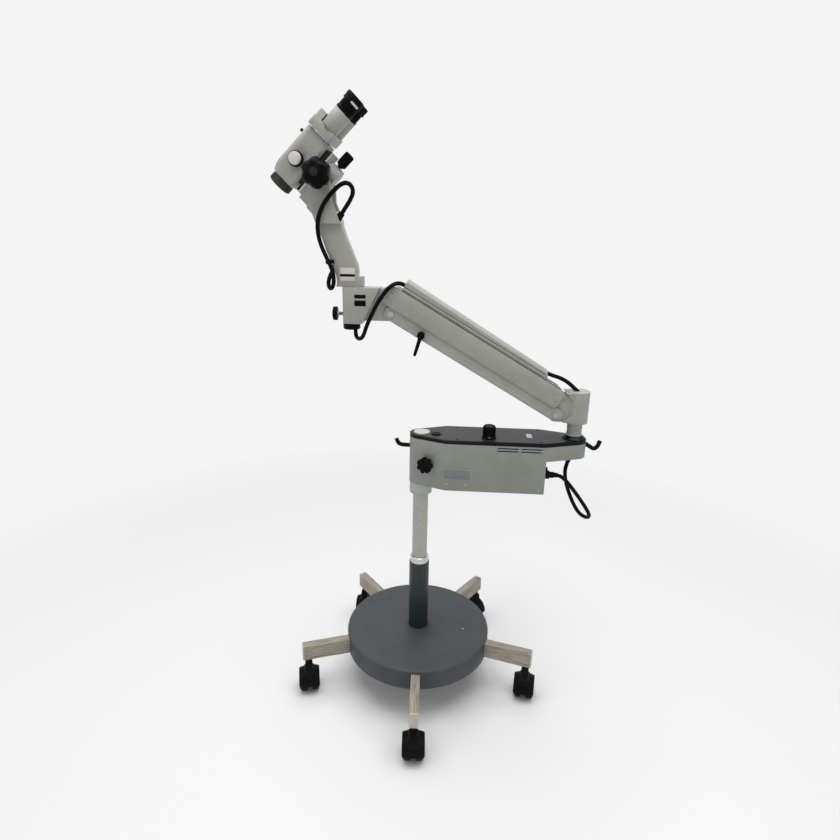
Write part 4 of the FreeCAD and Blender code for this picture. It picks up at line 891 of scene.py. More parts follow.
@dataclass
class Studio:
    """The plain pale floor, the soft lamps and the camera at the photograph's angle."""

    pale: str = "#f4f4f4"
    paper: str = "#fdfdfd"
    camera_at: Point = (0.086, -1.551, 1.320)
    heading: float = -3.40
    pitch: float = -16.95
    roll: float = 1.11
    lens: float = 24.64
    lamps: tuple[tuple[str, Point, Point, float, float], ...] = (
        ("overhead_panel", (0.1, -0.1, 3.4), (0.0, 0.0, 0.6), 3.2, 90.0),
        ("left_panel", (-2.6, -2.0, 2.8), (0.0, 0.0, 1.0), 2.0, 13.0),
        ("right_panel", (2.8, -1.6, 2.4), (0.0, 0.0, 1.0), 1.8, 6.0),
    )
    sky: float = 0.33

    def build(self) -> None:
        """Sets up the world, the floor, the lamps and the camera."""
        self.set_camera()
        self.set_world()
        self.set_floor()
        for name, spot, target, size, power in self.lamps:
            self.set_lamp(name, spot, target, size, power)
        bpy.context.scene.view_settings.view_transform = "Standard"

    def set_camera(self) -> None:
        """Puts the camera where the photograph was taken from."""
        data = bpy.data.cameras.new("photo_camera")
        data.lens = self.lens
        data.sensor_width = 36.0
        data.clip_end = 100.0
        camera = bpy.data.objects.new("photo_camera", data)
        bpy.context.scene.collection.objects.link(camera)
        yaw, drop, lean = (math.radians(value) for value in (self.heading, -self.pitch, self.roll))
        ahead = Vector((math.sin(yaw) * math.cos(drop), math.cos(yaw) * math.cos(drop), -math.sin(drop)))
        right = Vector((math.cos(yaw), -math.sin(yaw), 0.0))
        up = right.cross(ahead)
        across = math.cos(lean) * right + math.sin(lean) * up
        high = -math.sin(lean) * right + math.cos(lean) * up
        turn = Matrix((across, high, -ahead)).transposed().to_4x4()
        camera.matrix_world = Matrix.Translation(Vector(self.camera_at)) @ turn
        bpy.context.scene.camera = camera

    def set_world(self) -> None:
        """Lights everything softly, and shows rays that miss the object the pale backdrop."""
        world = bpy.data.worlds.new("studio")
        bpy.context.scene.world = world
        world.use_nodes = True
        tree = world.node_tree
        tree.nodes.clear()
        seen = self.seen_by_eye(tree)
        soft = add_node(tree, "ShaderNodeBackground", None, Color=linear("#ffffff"), Strength=self.sky)
        back = add_node(tree, "ShaderNodeBackground", None, Color=linear(self.pale), Strength=1.0)
        both = add_node(
            tree, "ShaderNodeMixShader", None, Fac=seen, at_1=soft.outputs[0], at_2=back.outputs[0]
        )
        add_node(tree, "ShaderNodeOutputWorld", None, Surface=both.outputs[0])

    def seen_by_eye(self, tree: bpy.types.NodeTree) -> bpy.types.NodeSocket:
        """Gives 1 where a ray comes from the camera, a reflection or a clear piece.

        Args:
            tree: the node tree.

        Returns:
            The socket with that number.
        """
        path = add_node(tree, "ShaderNodeLightPath").outputs
        most = {"operation": "MAXIMUM"}
        first = add_node(tree, "ShaderNodeMath", most, at_0=path["Is Camera Ray"], at_1=path["Is Glossy Ray"])
        both = add_node(tree, "ShaderNodeMath", most, at_0=first.outputs[0], at_1=path["Is Transmission Ray"])
        return both.outputs[0]

    def set_floor(self) -> None:
        """Lays a plain pale floor that fades to the backdrop's colour far from the object."""
        shape = bmesh.new()
        bmesh.ops.create_circle(shape, cap_ends=True, segments=96, radius=14.0)
        mesh = bpy.data.meshes.new("studio_floor")
        shape.to_mesh(mesh)
        shape.free()
        floor = bpy.data.objects.new("studio_floor", mesh)
        bpy.context.scene.collection.objects.link(floor)
        made = bpy.data.materials.new("matt_studio_paper")
        made.use_nodes = True
        tree = made.node_tree
        tree.nodes.clear()
        matt = add_node(tree, "ShaderNodeBsdfDiffuse", None, Color=linear(self.paper))
        plain = add_node(tree, "ShaderNodeEmission", None, Color=linear(self.pale), Strength=1.0)
        place = add_node(tree, "ShaderNodeTexCoord").outputs["Object"]
        far = add_node(tree, "ShaderNodeVectorMath", {"operation": "LENGTH"}, at_0=place)
        fade = add_node(
            tree, "ShaderNodeMapRange", None, Value=far.outputs["Value"], From_Min=0.9, From_Max=2.2
        )
        share = add_node(
            tree, "ShaderNodeMath", {"operation": "MULTIPLY"}, at_0=fade.outputs[0],
            at_1=self.seen_by_eye(tree)
        )
        both = add_node(
            tree, "ShaderNodeMixShader", None, Fac=share.outputs[0], at_1=matt.outputs[0],
            at_2=plain.outputs[0]
        )
        add_node(tree, "ShaderNodeOutputMaterial", None, Surface=both.outputs[0])
        mesh.materials.append(made)

    def set_lamp(self, name: str, spot: Point, target: Point, size: float, power: float) -> None:
        """Hangs one soft square lamp.

        Args:
            name: its name.
            spot: where it hangs.
            target: what it faces.
            size: its side, in metres.
            power: its power, in watts.
        """
        data = bpy.data.lights.new(name, "AREA")
        data.size = size
        data.energy = power
        lamp = bpy.data.objects.new(name, data)
        bpy.context.scene.collection.objects.link(lamp)
        lamp.location = spot
        lamp.rotation_mode = "QUATERNION"
        lamp.rotation_quaternion = (Vector(target) - Vector(spot)).to_track_quat("-Z", "Y")


# Cables


@dataclass
class Cables:
    """The four cables, each on its own route, with the sleeves that hold their ends."""

    bench: Bench
    box_route: tuple[Point, ...] = (
        (372.3, -30, 709),
        (386, -30, 708.5),
        (399, -30, 703),
        (412, -30, 691),
        (429, -30, 671),
        (447, -30, 648),
        (464, -30, 625),
        (479, -28, 603),
        (488, -21, 585),
        (487, -9, 572),
        (476, 3, 570),
        (462, 10, 580),
        (449, 12, 600),
        (437, 12, 624),
        (426, 11, 650),
        (418, 9, 674),
        (413, 6, 696),
        (411.5, 3, 715),
        (414, 0.5, 732),
        (416, 0, 742),
        (416, 0, 750.2),
    )
    front_route: tuple[Point, ...] = (
        (-49.9, -10, 1216.1),
        (-60, -15, 1221.5),
        (-70, -26, 1223.5),
        (-80, -38, 1220.5),
        (-92, -43.5, 1211),
        (-106, -45, 1194),
        (-120, -45, 1173),
        (-132, -44.5, 1150),
        (-143, -43.5, 1127),
        (-152, -40, 1106),
        (-158, -33, 1089),
        (-166, -23, 1077),
        (-176, -12, 1073),
        (-184, -3, 1078),
        (-186, 0, 1088),
        (-186, 0, 1098),
    )
    rear_route: tuple[Point, ...] = (
        (332.7, 0, 995),
        (349, 0, 987.5),
        (371, 0, 982),
        (392, 0, 971.5),
        (409, 0, 958.5),
        (426, 0, 942.5),
    )
    carrier_route: tuple[Point, ...] = (
        (-212.6, -22, 1393),
        (-202, -25, 1407.5),
        (-189, -31, 1424.5),
        (-180, -39, 1441),
        (-183, -45, 1456),
        (-195, -48, 1463),
        (-210, -48, 1458.5),
        (-223, -47, 1448),
        (-237, -46, 1434.5),
        (-251, -45, 1418),
        (-263, -44, 1397),
        (-271, -43, 1374),
        (-273.5, -37, 1350),
        (-271, -31, 1327),
        (-264, -28.5, 1305),
        (-254, -27.5, 1283),
        (-245, -27, 1264.5),
        (-239, -26.5, 1247),
        (-237, -25.5, 1230),
        (-239, -22.5, 1214),
        (-246, -17, 1204),
        (-254, -11, 1208),
        (-256, -6, 1222),
        (-252, -2, 1237),
        (-245, 0, 1250.5),
        (-237, 0, 1264.5),
    )
    radius: float = 0.0055

    def build(self) -> None:
        """Makes the four cables and their sleeves."""
        self.riding("box_cable", self.box_route, "power_box", "box_cord", 0.409)
        self.riding("carrier_cable", self.carrier_route, "carrier", "carrier_cord", 0.464)
        self.bending("front_cable", self.front_route, "front_cord", 0.265)
        self.bending("rear_cable", self.rear_route, "rear_cord", 0.109)
        self.sleeves()

    def line(self, route: Sequence[Point]) -> bpy.types.Curve:
        """Makes a cable's centreline, a smooth NURBS spline through its route.

        Args:
            route: the control points, in millimetres.

        Returns:
            The curve data, with no thickness.
        """
        data = bpy.data.curves.new("route", "CURVE")
        data.dimensions = "3D"
        spline = data.splines.new("NURBS")
        spline.points.add(len(route) - 1)
        for control, spot in zip(spline.points, route):
            control.co = (*(Vector(spot) * MM), 1.0)
        spline.order_u = 3
        spline.use_endpoint_u = True
        spline.resolution_u = 8
        return data

    def riding(self, name: str, route: Sequence[Point], body: str, node: str, length: float) -> None:
        """Makes a cable that stays on one body.

        Args:
            name: its name.
            route: its control points, in millimetres.
            body: the body that it rides on.
            node: the CAD node that it replaces.
            length: its real length.
        """
        data = self.line(route)
        data.bevel_depth = self.radius
        data.bevel_resolution = 5
        data.use_fill_caps = True
        data.materials.append(Finishes.SHEATH.material())
        cable = bpy.data.objects.new(name, data)
        bpy.context.scene.collection.objects.link(cable)
        self.declare(cable, length)
        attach(cable, body)
        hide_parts(node)

    def bending(
        self, name: str, route: Sequence[Point], node: str, length: float
    ) -> None:
        """Makes a cable that crosses a joint, as a tube along its spline.

        Args:
            name: its name.
            route: its control points, in millimetres.
            node: the CAD node that it replaces.
            length: its real length.
        """
        data = self.line(route)
        holder = bpy.data.objects.new("route", data)
        bpy.context.scene.collection.objects.link(holder)
        graph = bpy.context.evaluated_depsgraph_get()
        bare = bpy.data.meshes.new_from_object(holder.evaluated_get(graph))
        path = [vertex.co.copy() for vertex in bare.vertices]
        bpy.data.objects.remove(holder)
        mesh = settle([self.tube(path)], None, [Finishes.SHEATH])
        cable = bpy.data.objects.new(name, mesh)
        bpy.context.scene.collection.objects.link(cable)
        self.declare(cable, length)
        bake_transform(cable)
        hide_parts(node)

    def tube(self, path: Sequence[Vector], sides: int = 16) -> bmesh.types.BMesh:
        """Makes a round tube along points.

        Args:
            path: the points.
            sides: how many sides it has.

        Returns:
            The shape.
        """
        shape = bmesh.new()
        rings = []
        normal = None
        for number, spot in enumerate(path):
            ahead = (path[min(number + 1, len(path) - 1)] - path[max(number - 1, 0)]).normalized()
            if normal is None:
                normal = ahead.orthogonal().normalized()
            normal = (normal - ahead * normal.dot(ahead)).normalized()
            side = ahead.cross(normal)
            ring = []
            for step in range(sides):
                angle = 2 * math.pi * step / sides
                out = math.cos(angle) * normal + math.sin(angle) * side
                ring.append(shape.verts.new(spot + self.radius * out))
            rings.append(ring)
        for low, high in zip(rings, rings[1:]):
            for step in range(sides):
                after = (step + 1) % sides
                shape.faces.new((low[step], low[after], high[after], high[step]))
        shape.faces.new(rings[0])
        shape.faces.new(rings[-1])
        return shape

    def declare(
        self, cable: bpy.types.Object, length: float
    ) -> None:
        """Says what a cable is.

        Args:
            cable: the cable's object.
            length: its real length.
        """
        self.bench.count += 1
        LOG.info("%s, a cable of %.3f m", cable.name, length)

    def sleeves(self) -> None:
        """Adds the ribbed sleeves that guard the cables where they leave a housing."""
        spots = (
            ("box_cable_guard", self.box_route, 0, "power_box", 13.0),
            ("box_gland_guard", self.box_route, -1, "power_box", 11.0),
            ("carrier_end_guard", self.carrier_route, -1, "carrier", 10.0),
        )
        for name, route, end, body, length in spots:
            first, second = (route[0], route[1]) if end == 0 else (route[-1], route[-2])
            way = Vector(second) - Vector(first)
            place = facing(Vector(first) * MM, way)
            thick = self.radius / MM
            profile = [(-2.0, thick + 2.6), (1.5, thick + 2.6)]
            for rib in range(3):
                at = 2.0 + rib * (length - 2) / 3
                wide = thick + 2.2 - rib * 0.5
                profile += [(at, wide - 0.9), (at + 0.9, wide - 0.9), (at + 1.2, wide), (at + 2.4, wide)]
            profile += [(length, thick + 0.5)]
            mesh = settle([lathe(profile, 32)], place, [Finishes.BLACK])
            self.bench.own(name, mesh, body, Finishes.BLACK)


# The star base and the column


@dataclass
class StarBase:
    """The weighted disc, the five legs with their end plates, and the column."""

    bench: Bench
    star_turn: float = -87.8
    legs: int = 5
    leg_half: float = 12.5
    leg_low: float = 120.0
    leg_top: float = 167.0
    leg_end: float = 357.0
    disc_top: float = 177.0
    disc_recess: float = 5.0
    sleeve_top: float = 400.0
    sleeve_radius: float = 30.0
    collar_radius: float = 28.0
    collar_height: float = 20.0
    column_radius: float = 22.5

    def build(self) -> None:
        """Dresses the base's pieces."""
        bench = self.bench
        bench.soften("base_disc", "base", Finishes.DISC, 0.0012)
        self.brushed_legs()
        self.end_plates()
        bench.paint("column_tube", Finishes.TUBE)
        self.column()
        self.screws()

    def brushed_legs(self) -> None:
        """Stands softened legs in the star's place, with a grain that runs along each."""
        legs = self.bench.soften("star_legs", "base", Finishes.LEG, 0.0014)
        mesh = legs.data
        layer = mesh.uv_layers.new(name="grain")
        for face in mesh.polygons:
            middle = face.center
            turn = math.atan2(middle.y, middle.x) - math.radians(self.star_turn)
            leg = round(turn / (2 * math.pi / self.legs))
            angle = math.radians(self.star_turn) + leg * 2 * math.pi / self.legs
            along = Vector((math.cos(angle), math.sin(angle), 0))
            across = Vector((-math.sin(angle), math.cos(angle), 0))
            for corner in face.loop_indices:
                spot = mesh.vertices[mesh.loops[corner].vertex_index].co
                height = spot.z if abs(face.normal.z) < 0.5 else spot.dot(across) + 0.2
                layer.data[corner].uv = (spot.dot(along) + leg * 0.7, height)

    def end_plates(self) -> None:
        """Closes each leg with a pale plate."""
        shapes = []
        spots = []
        for leg in range(self.legs):
            angle = math.radians(self.star_turn) + leg * 2 * math.pi / self.legs
            turn = Matrix.Rotation(angle, 4, "Z")
            half = self.leg_half
            plate = box_shape(
                (self.leg_end, -half, self.leg_low), (self.leg_end + 4, half, self.leg_top), 1.2
            )
            plate.transform(turn)
            shapes.append(plate)
            middle = (self.leg_low + self.leg_top) / 2
            spots.append(
                (
                    tuple(turn @ Vector(((self.leg_end + 4) * MM, 0, middle * MM))),
                    tuple(turn.to_3x3() @ Vector((1, 0, 0))),
                )
            )
        mesh = settle(shapes, None, [Finishes.LEG_END])
        self.bench.own("leg_end_plates", mesh, "base", Finishes.LEG_END, ["leg_end_caps"])

    def column(self) -> None:
        """Makes the painted sleeve with its rolled lip and the polished collar over it."""
        up = facing((0, 0, 0), (0, 0, 1), (1, 0, 0))
        low, top, wide = self.disc_top - self.disc_recess, self.sleeve_top, self.sleeve_radius
        sleeve = rounded(
            [
                (low, self.column_radius),
                (low, wide),
                (top - 5, wide),
                (top - 4.6, wide - 0.5),
                (top - 4.0, wide - 0.5),
                (top - 3.6, wide),
                (top, wide),
                (top, self.column_radius),
            ],
            0.8,
        )
        mesh = settle([lathe(sleeve, 96)], up, [Finishes.SLEEVE])
        self.bench.own("painted_sleeve", mesh, "base", Finishes.SLEEVE, ["column_sleeve"])
        end = top + self.collar_height
        wide = self.collar_radius
        collar = rounded(
            [
                (top, self.column_radius),
                (top, wide),
                (top + 8.4, wide),
                (top + 8.8, wide - 0.6),
                (top + 9.6, wide - 0.6),
                (top + 10, wide),
                (end - 2, wide),
                (end, wide - 2),
                (end, self.column_radius),
            ],
            0.5,
        )
        mesh = settle([lathe(collar, 96)], up, [Finishes.CHROME])
        self.bench.own("polished_collar", mesh, "base", Finishes.CHROME, ["column_collar"])

    def screws(self) -> None:
        """Sets the screw on the disc's top."""
        spots = [((0.141, -0.020, 0.1776), (0.0, 0.0, 1.0))]
        self.bench.own("disc_screw", SCREWS.mesh(spots, 3.0, 1.2, Finishes.RAIL), "base", Finishes.RAIL)


# Casters


@dataclass
class Casters:
    """Five twin-wheel casters: a hood over two wheels with a hub each."""

    bench: Bench
    count: int = 5
    circle: float = 344.0
    star_turn: float = -87.8
    turns: tuple[float, ...] = (-86.0, -100.0, -53.0, -90.0, -75.0)
    trail: float = 10.0
    wheel_radius: float = 34.0
    inner: float = 7.5
    width: float = 22.0
    crown: float = 0.13
    neck_low: float = 76.0
    neck_share: float = 0.72
    stem_radius: float = 9.6

    def build(self) -> None:
        """Dresses each caster."""
        for number in range(1, self.count + 1):
            self.hood(number)
            self.wheels(number)

    def place(self, number: int) -> Matrix:
        """Gives the place of a caster's stem on the floor, turned as the caster is.

        Args:
            number: which caster.

        Returns:
            The place.
        """
        spoke = math.radians(self.star_turn + (number - 1) * 72)
        middle = Vector((self.circle * math.cos(spoke), self.circle * math.sin(spoke), 0)) * MM
        return Matrix.Translation(middle) @ Matrix.Rotation(math.radians(self.turns[number - 1]), 4, "Z")

    def hood(self, number: int) -> None:
        """Makes a caster's body in its CAD node's place, with a crowned hood and a drawn-in neck.

        Args:
            number: which caster.
        """
        place = self.place(number)
        shape = self.bench.merged(f"caster_{number}_yoke")
        shape.transform(place.inverted())
        half = max(abs(vertex.co.y) for vertex in shape.verts)
        cuts = [
            ((0, side * share * half, 0), (0, 1, 0))
            for share in (0.3, 0.5, 0.66, 0.8, 0.92)
            for side in (-1, 1)
        ]
        cuts += [((0, 0, self.neck_low * MM), (0, 0, 1)), ((0, 0, (self.neck_low + 4) * MM), (0, 0, 1))]
        for spot, normal in cuts:
            whole = shape.verts[:] + shape.edges[:] + shape.faces[:]
            bmesh.ops.bisect_plane(shape, geom=whole, dist=1e-6, plane_co=spot, plane_no=normal)
        axle = Vector((-self.trail, 0, self.wheel_radius)) * MM
        for vertex in shape.verts:
            spot = vertex.co
            reach = Vector((spot.x - axle.x, 0, spot.z - axle.z))
            if spot.z > (self.neck_low + 2) * MM:
                if math.hypot(spot.x, spot.y) > self.stem_radius * MM:
                    spot.x *= self.neck_share
                    spot.y *= self.neck_share
            elif reach.length > (self.wheel_radius - 1) * MM:
                sunk = self.crown * min(abs(spot.y) / half, 1.0) ** 3
                spot.x -= reach.x * sunk
                spot.z -= reach.z * sunk
        mesh = settle([shape], place, [Finishes.BLACK], 30)
        self.bench.own(
            f"caster_{number}_hood", mesh, f"caster_{number}", Finishes.BLACK, [f"caster_{number}_yoke"]
        )

    def wheels(self, number: int) -> None:
        """Makes the two wheels of one caster.

        Args:
            number: which caster.
        """
        place = self.place(number)
        shapes, finishes = [], []
        for side in (1, -1):
            axle = facing((-self.trail * MM, 0, self.wheel_radius * MM), (0, side, 0))
            for shape, finish in self.one_wheel():
                shape.transform(axle)
                shapes.append(shape)
                finishes.append(finish)
        mesh = settle(shapes, place, finishes)
        self.bench.own(
            f"caster_{number}_tyres", mesh, f"wheels_{number}", Finishes.TREAD, [f"caster_{number}_wheels"]
        )

    def one_wheel(self) -> list[tuple[bmesh.types.BMesh, Finish]]:
        """Makes one wheel about X, its tyre and its dished hub.

        Returns:
            Each shape with its finish.
        """
        near, far, rim = self.inner, self.inner + self.width, self.wheel_radius
        tyre = rounded(
            [
                (near, rim - 10.0),
                (near, rim - 2),
                (near + 2, rim),
                (far - 8, rim),
                (far - 3, rim - 3.2),
                (far - 0.2, rim - 8.0),
                (far - 0.2, rim - 8.6),
                (far - 2.0, rim - 10.0),
            ],
            1.6,
        )
        hub = rounded(
            [
                (near + 0.3, 4.1),
                (near + 0.3, rim - 9.8),
                (far - 2.2, rim - 9.8),
                (far - 3.6, rim - 12.5),
                (far - 5.0, 14.0),
                (far - 5.0, 11.0),
                (far - 1.4, 9.0),
                (far - 0.8, 4.1),
            ],
            1.2,
        )
        return [(hollow(tyre, 72), Finishes.TREAD), (hollow(hub, 48), Finishes.BLACK)]


# The power box


@dataclass
class PowerBox:
    """The box on the column: housing, lid, knobs, plates, hooks and connectors."""

    bench: Bench
    side: float = 68.0
    lid_top: float = 811.0
    lid_rim: float = 5.0
    foot_height: float = 11.0
    dial_at: tuple[float, float] = (188.0, -30.0)
    dial_height: float = 36.0
    button_at: tuple[float, float] = (41.0, -15.0)
    button_radius: float = 12.0
    cap_radius: float = 23.0
    lock_axis: tuple[float, float] = (-0.4077, -0.9131)
    lock_z: float = 733.0
    lock_radius: float = 23.0
    lock_length: float = 26.0

    def build(self) -> None:
        """Dresses the box's pieces."""
        bench = self.bench
        bench.soften("box_housing", "power_box", Finishes.BOX, 0.0014)
        self.lid()
        self.hub()
        self.plates()
        self.button()
        self.dial()
        self.lock()
        bench.soften("cable_hooks", "power_box", Finishes.BLACK, 0.0012)
        bench.soften("box_connectors", "power_box", Finishes.BLACK, 0.0008)
        bench.paint("transformer", Finishes.INNER)
        bench.paint("lamp_module", Finishes.INNER)
        self.post()
        self.screws()

    def lid(self) -> None:
        """Stands a lid with a glossy dark rim in the CAD lid's place, and lays the slate panel on it."""
        self.bench.soften("box_lid", "power_box", Finishes.LID_EDGE, 0.003)
        inset, half = self.lid_rim, self.side - self.lid_rim
        outline = []
        for centre, radius, start in ((0.0, 34.0, 114.1), (425.0, 35.0, -70.0)):
            sweep = 360 - 2 * start if start > 0 else -2 * start
            for step in range(17):
                angle = math.radians(start + sweep * step / 16)
                reach = radius - inset
                outline.append((centre + reach * math.cos(angle), reach * math.sin(angle)))
            shoulders = [(69 + inset * 0.2, -half), (340 - inset * 0.2, -half)]
            outline += shoulders if start > 0 else [(x, -y) for x, y in reversed(shoulders)]
        panel = prism(outline, self.lid_top - 0.3, self.lid_top + 0.15)
        mesh = settle([panel], Matrix.Rotation(math.pi / 2, 4, "X"), [Finishes.LID])
        self.bench.own("lid_panel", mesh, "power_box", Finishes.LID)

    def post(self) -> None:
        """Stands the rear post on its dark flared foot."""
        shape = self.bench.merged("rear_post")
        line = (self.lid_top + self.foot_height) * MM
        whole = shape.verts[:] + shape.edges[:] + shape.faces[:]
        bmesh.ops.bisect_plane(shape, geom=whole, dist=1e-6, plane_co=(0, 0, line), plane_no=(0, 0, 1))
        mesh = settle([shape], None, [Finishes.ARM])
        mesh.materials.append(Finishes.LID_EDGE.material())
        for face in mesh.polygons:
            if face.center.z < line:
                face.material_index = 1
        self.bench.own("footed_rear_post", mesh, "power_box", Finishes.ARM, ["rear_post"])

    def hub(self) -> None:
        """Dresses the hub under the box and makes the pale cap over the column."""
        self.bench.soften("pivot_hub", "power_box", Finishes.PIN, 0.0009)
        up = facing((0, 0, self.lid_top * MM), (0, 0, 1), (1, 0, 0))
        wide = self.cap_radius
        cap = [
            (0, 0), (0, wide), (1.8, wide), (2.8, wide - 0.6), (3.4, wide - 2), (3.4, 14), (3, 13.4), (3, 0)
        ]
        mesh = settle([lathe(cap, 64)], up, [Finishes.WINDOW])
        self.bench.own("column_cap", mesh, "power_box", Finishes.WINDOW, ["pivot_cap"])

    def plates(self) -> None:
        """Makes the bare rating plate on the side and the pale window in the lid."""
        plate = box_shape((65, -69, 697), (142, -68, 728), 0.5)
        rim = box_shape((67, -69.25, 699), (140, -68.9, 726), 0.15)
        mesh = settle([plate, rim], None, [Finishes.PLATE_SIDE, Finishes.PLATE_FACE])
        self.bench.own("bare_rating_plate", mesh, "power_box", Finishes.PLATE_SIDE, ["box_plates"])
        window = box_shape((294.5, -17, 810), (309.5, 17, 811.5), 0.4)
        self.bench.own("lid_window", settle([window], None, [Finishes.WINDOW]), "power_box", Finishes.WINDOW)

    def button(self) -> None:
        """Makes the round power button with its dished top, and the ring round it."""
        x, y = self.button_at
        up = facing((x * MM, y * MM, 0), (0, 0, 1), (1, 0, 0))
        wide, top = self.button_radius, self.lid_top + 4
        profile = [
            (797, 0), (797, wide + 2), (800.5, wide + 2), (800.5, wide), (top - 1.2, wide),
            (top - 0.4, wide - 0.6), (top, wide - 1.6), (top - 0.5, wide - 4.0), (top - 0.9, wide - 7.5),
            (top - 1.0, 0)
        ]
        mesh = settle([lathe(profile, 56)], up, [Finishes.BLACK])
        self.bench.own("round_power_button", mesh, "power_button", Finishes.BLACK, ["power_button"])
        low = self.lid_top - 0.2
        ring = [
            (low, wide + 0.4), (low, wide + 4.2), (low + 0.7, wide + 3.8), (low + 1.2, wide + 1.2),
            (low + 0.6, wide + 0.4)
        ]
        shape = hollow(ring, 56)
        self.bench.own("button_bezel", settle([shape], up, [Finishes.BLACK]), "power_box", Finishes.BLACK)

    def dial(self) -> None:
        """Makes the brightness knob: a ribbed grip on a flared skirt, with a pale pointer line."""
        x, y = self.dial_at
        up = facing((x * MM, y * MM, 0), (0, 0, 1), (1, 0, 0))
        low = self.lid_top + 0.3
        top = low + self.dial_height
        profile = [
            (787, 0), (787, 4), (low, 4), (low, 19.2), (low + 0.8, 20), (low + 3.4, 20), (low + 4.2, 19.4),
            (low + 6, 17.8), (low + 7, 17.2), (top - 3, 16.8), (top - 1.2, 16.2), (top - 0.2, 14.8),
            (top, 13.4), (top - 0.8, 12.0), (top - 0.8, 0)
        ]
        line = box_shape((x - 0.6, y - 19.0, low + 4.4), (x + 0.6, y - 16.6, low + 7.6), 0.2)
        knob = lathe(profile, 64)
        knob.transform(up)
        mesh = settle([knob, line], None, [Finishes.BLACK, Finishes.WHITE])
        self.bench.own("brightness_grip", mesh, "brightness_knob", Finishes.BLACK, ["brightness_knob"])
        ribs = RIBS.mesh(up, 40, 17.1, 1.3, 1.4, low + 7.6, self.dial_height - 12, Finishes.BLACK)
        self.bench.own("brightness_ribs", ribs, "brightness_knob", Finishes.BLACK)

    def lock(self) -> None:
        """Makes the lobed knob that locks the box's turn, on its stem."""
        low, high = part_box("swivel_lock_knob")
        away = Vector((self.lock_axis[0], self.lock_axis[1], 0)).normalized()
        # The knob's outer end lies furthest along its axis in the CAD node
        reach = max(
            Vector(vertex.co).dot(away) for vertex in self.bench.nodes["swivel_lock_knob"].data.vertices
        )
        middle = (low + high) / 2
        middle.z = self.lock_z * MM
        start = middle + away * (reach - self.lock_length * MM - middle.dot(away))
        place = facing(start, away)

        def lobes(angle: float, along: float, radius: float) -> float:
            """Draws the seven lobes where the radius is that of the grip."""
            if radius < self.lock_radius - 6:
                return radius
            wave = 0.5 + 0.5 * math.cos(7 * angle)
            return radius - 4.4 * (1 - wave) ** 1.6

        wide, end = self.lock_radius, self.lock_length
        profile = [
            (-9.6, 0), (-9.6, 5), (0.2, 5), (0.2, 13), (5.2, 14), (5.4, wide - 3), (6.2, wide - 1),
            (8.0, wide), (end - 4.5, wide), (end - 2.2, wide - 1.0), (end - 0.8, wide - 3.2),
            (end - 0.4, 14.0), (end, 12.0), (end, 8.0), (end - 1.6, 6.6), (end - 1.6, 0)
        ]
        mesh = settle([lathe(profile, 112, lobes)], place, [Finishes.GLOSS], 34)
        self.bench.own("swivel_lock_grip", mesh, "swivel_lock", Finishes.GLOSS, ["swivel_lock_knob"])

    def screws(self) -> None:
        """Sets the screws of the lid and of the box's side."""
        side = -(self.side + 0.4) * MM
        spots = [
            ((x * MM, side, z * MM), (0.0, -1.0, 0.0))
            for x, z in ((128, 684), (76, 684), (330, 676), (330, 790))
        ]
        self.bench.own(
            "box_side_screws", SCREWS.mesh(spots, 2.4, 0.9, Finishes.RAIL), "power_box", Finishes.RAIL
        )
        top = (self.lid_top + 0.3) * MM
        spots = [
            ((x * MM, y * MM, top), (0.0, 0.0, 1.0))
            for x, y in ((100, 54), (100, -54), (330, 54), (330, -54))
        ]
        self.bench.own(
            "lid_screws", SCREWS.mesh(spots, 3.0, 0.9, Finishes.BLACK), "power_box", Finishes.BLACK
        )


# The spring arm


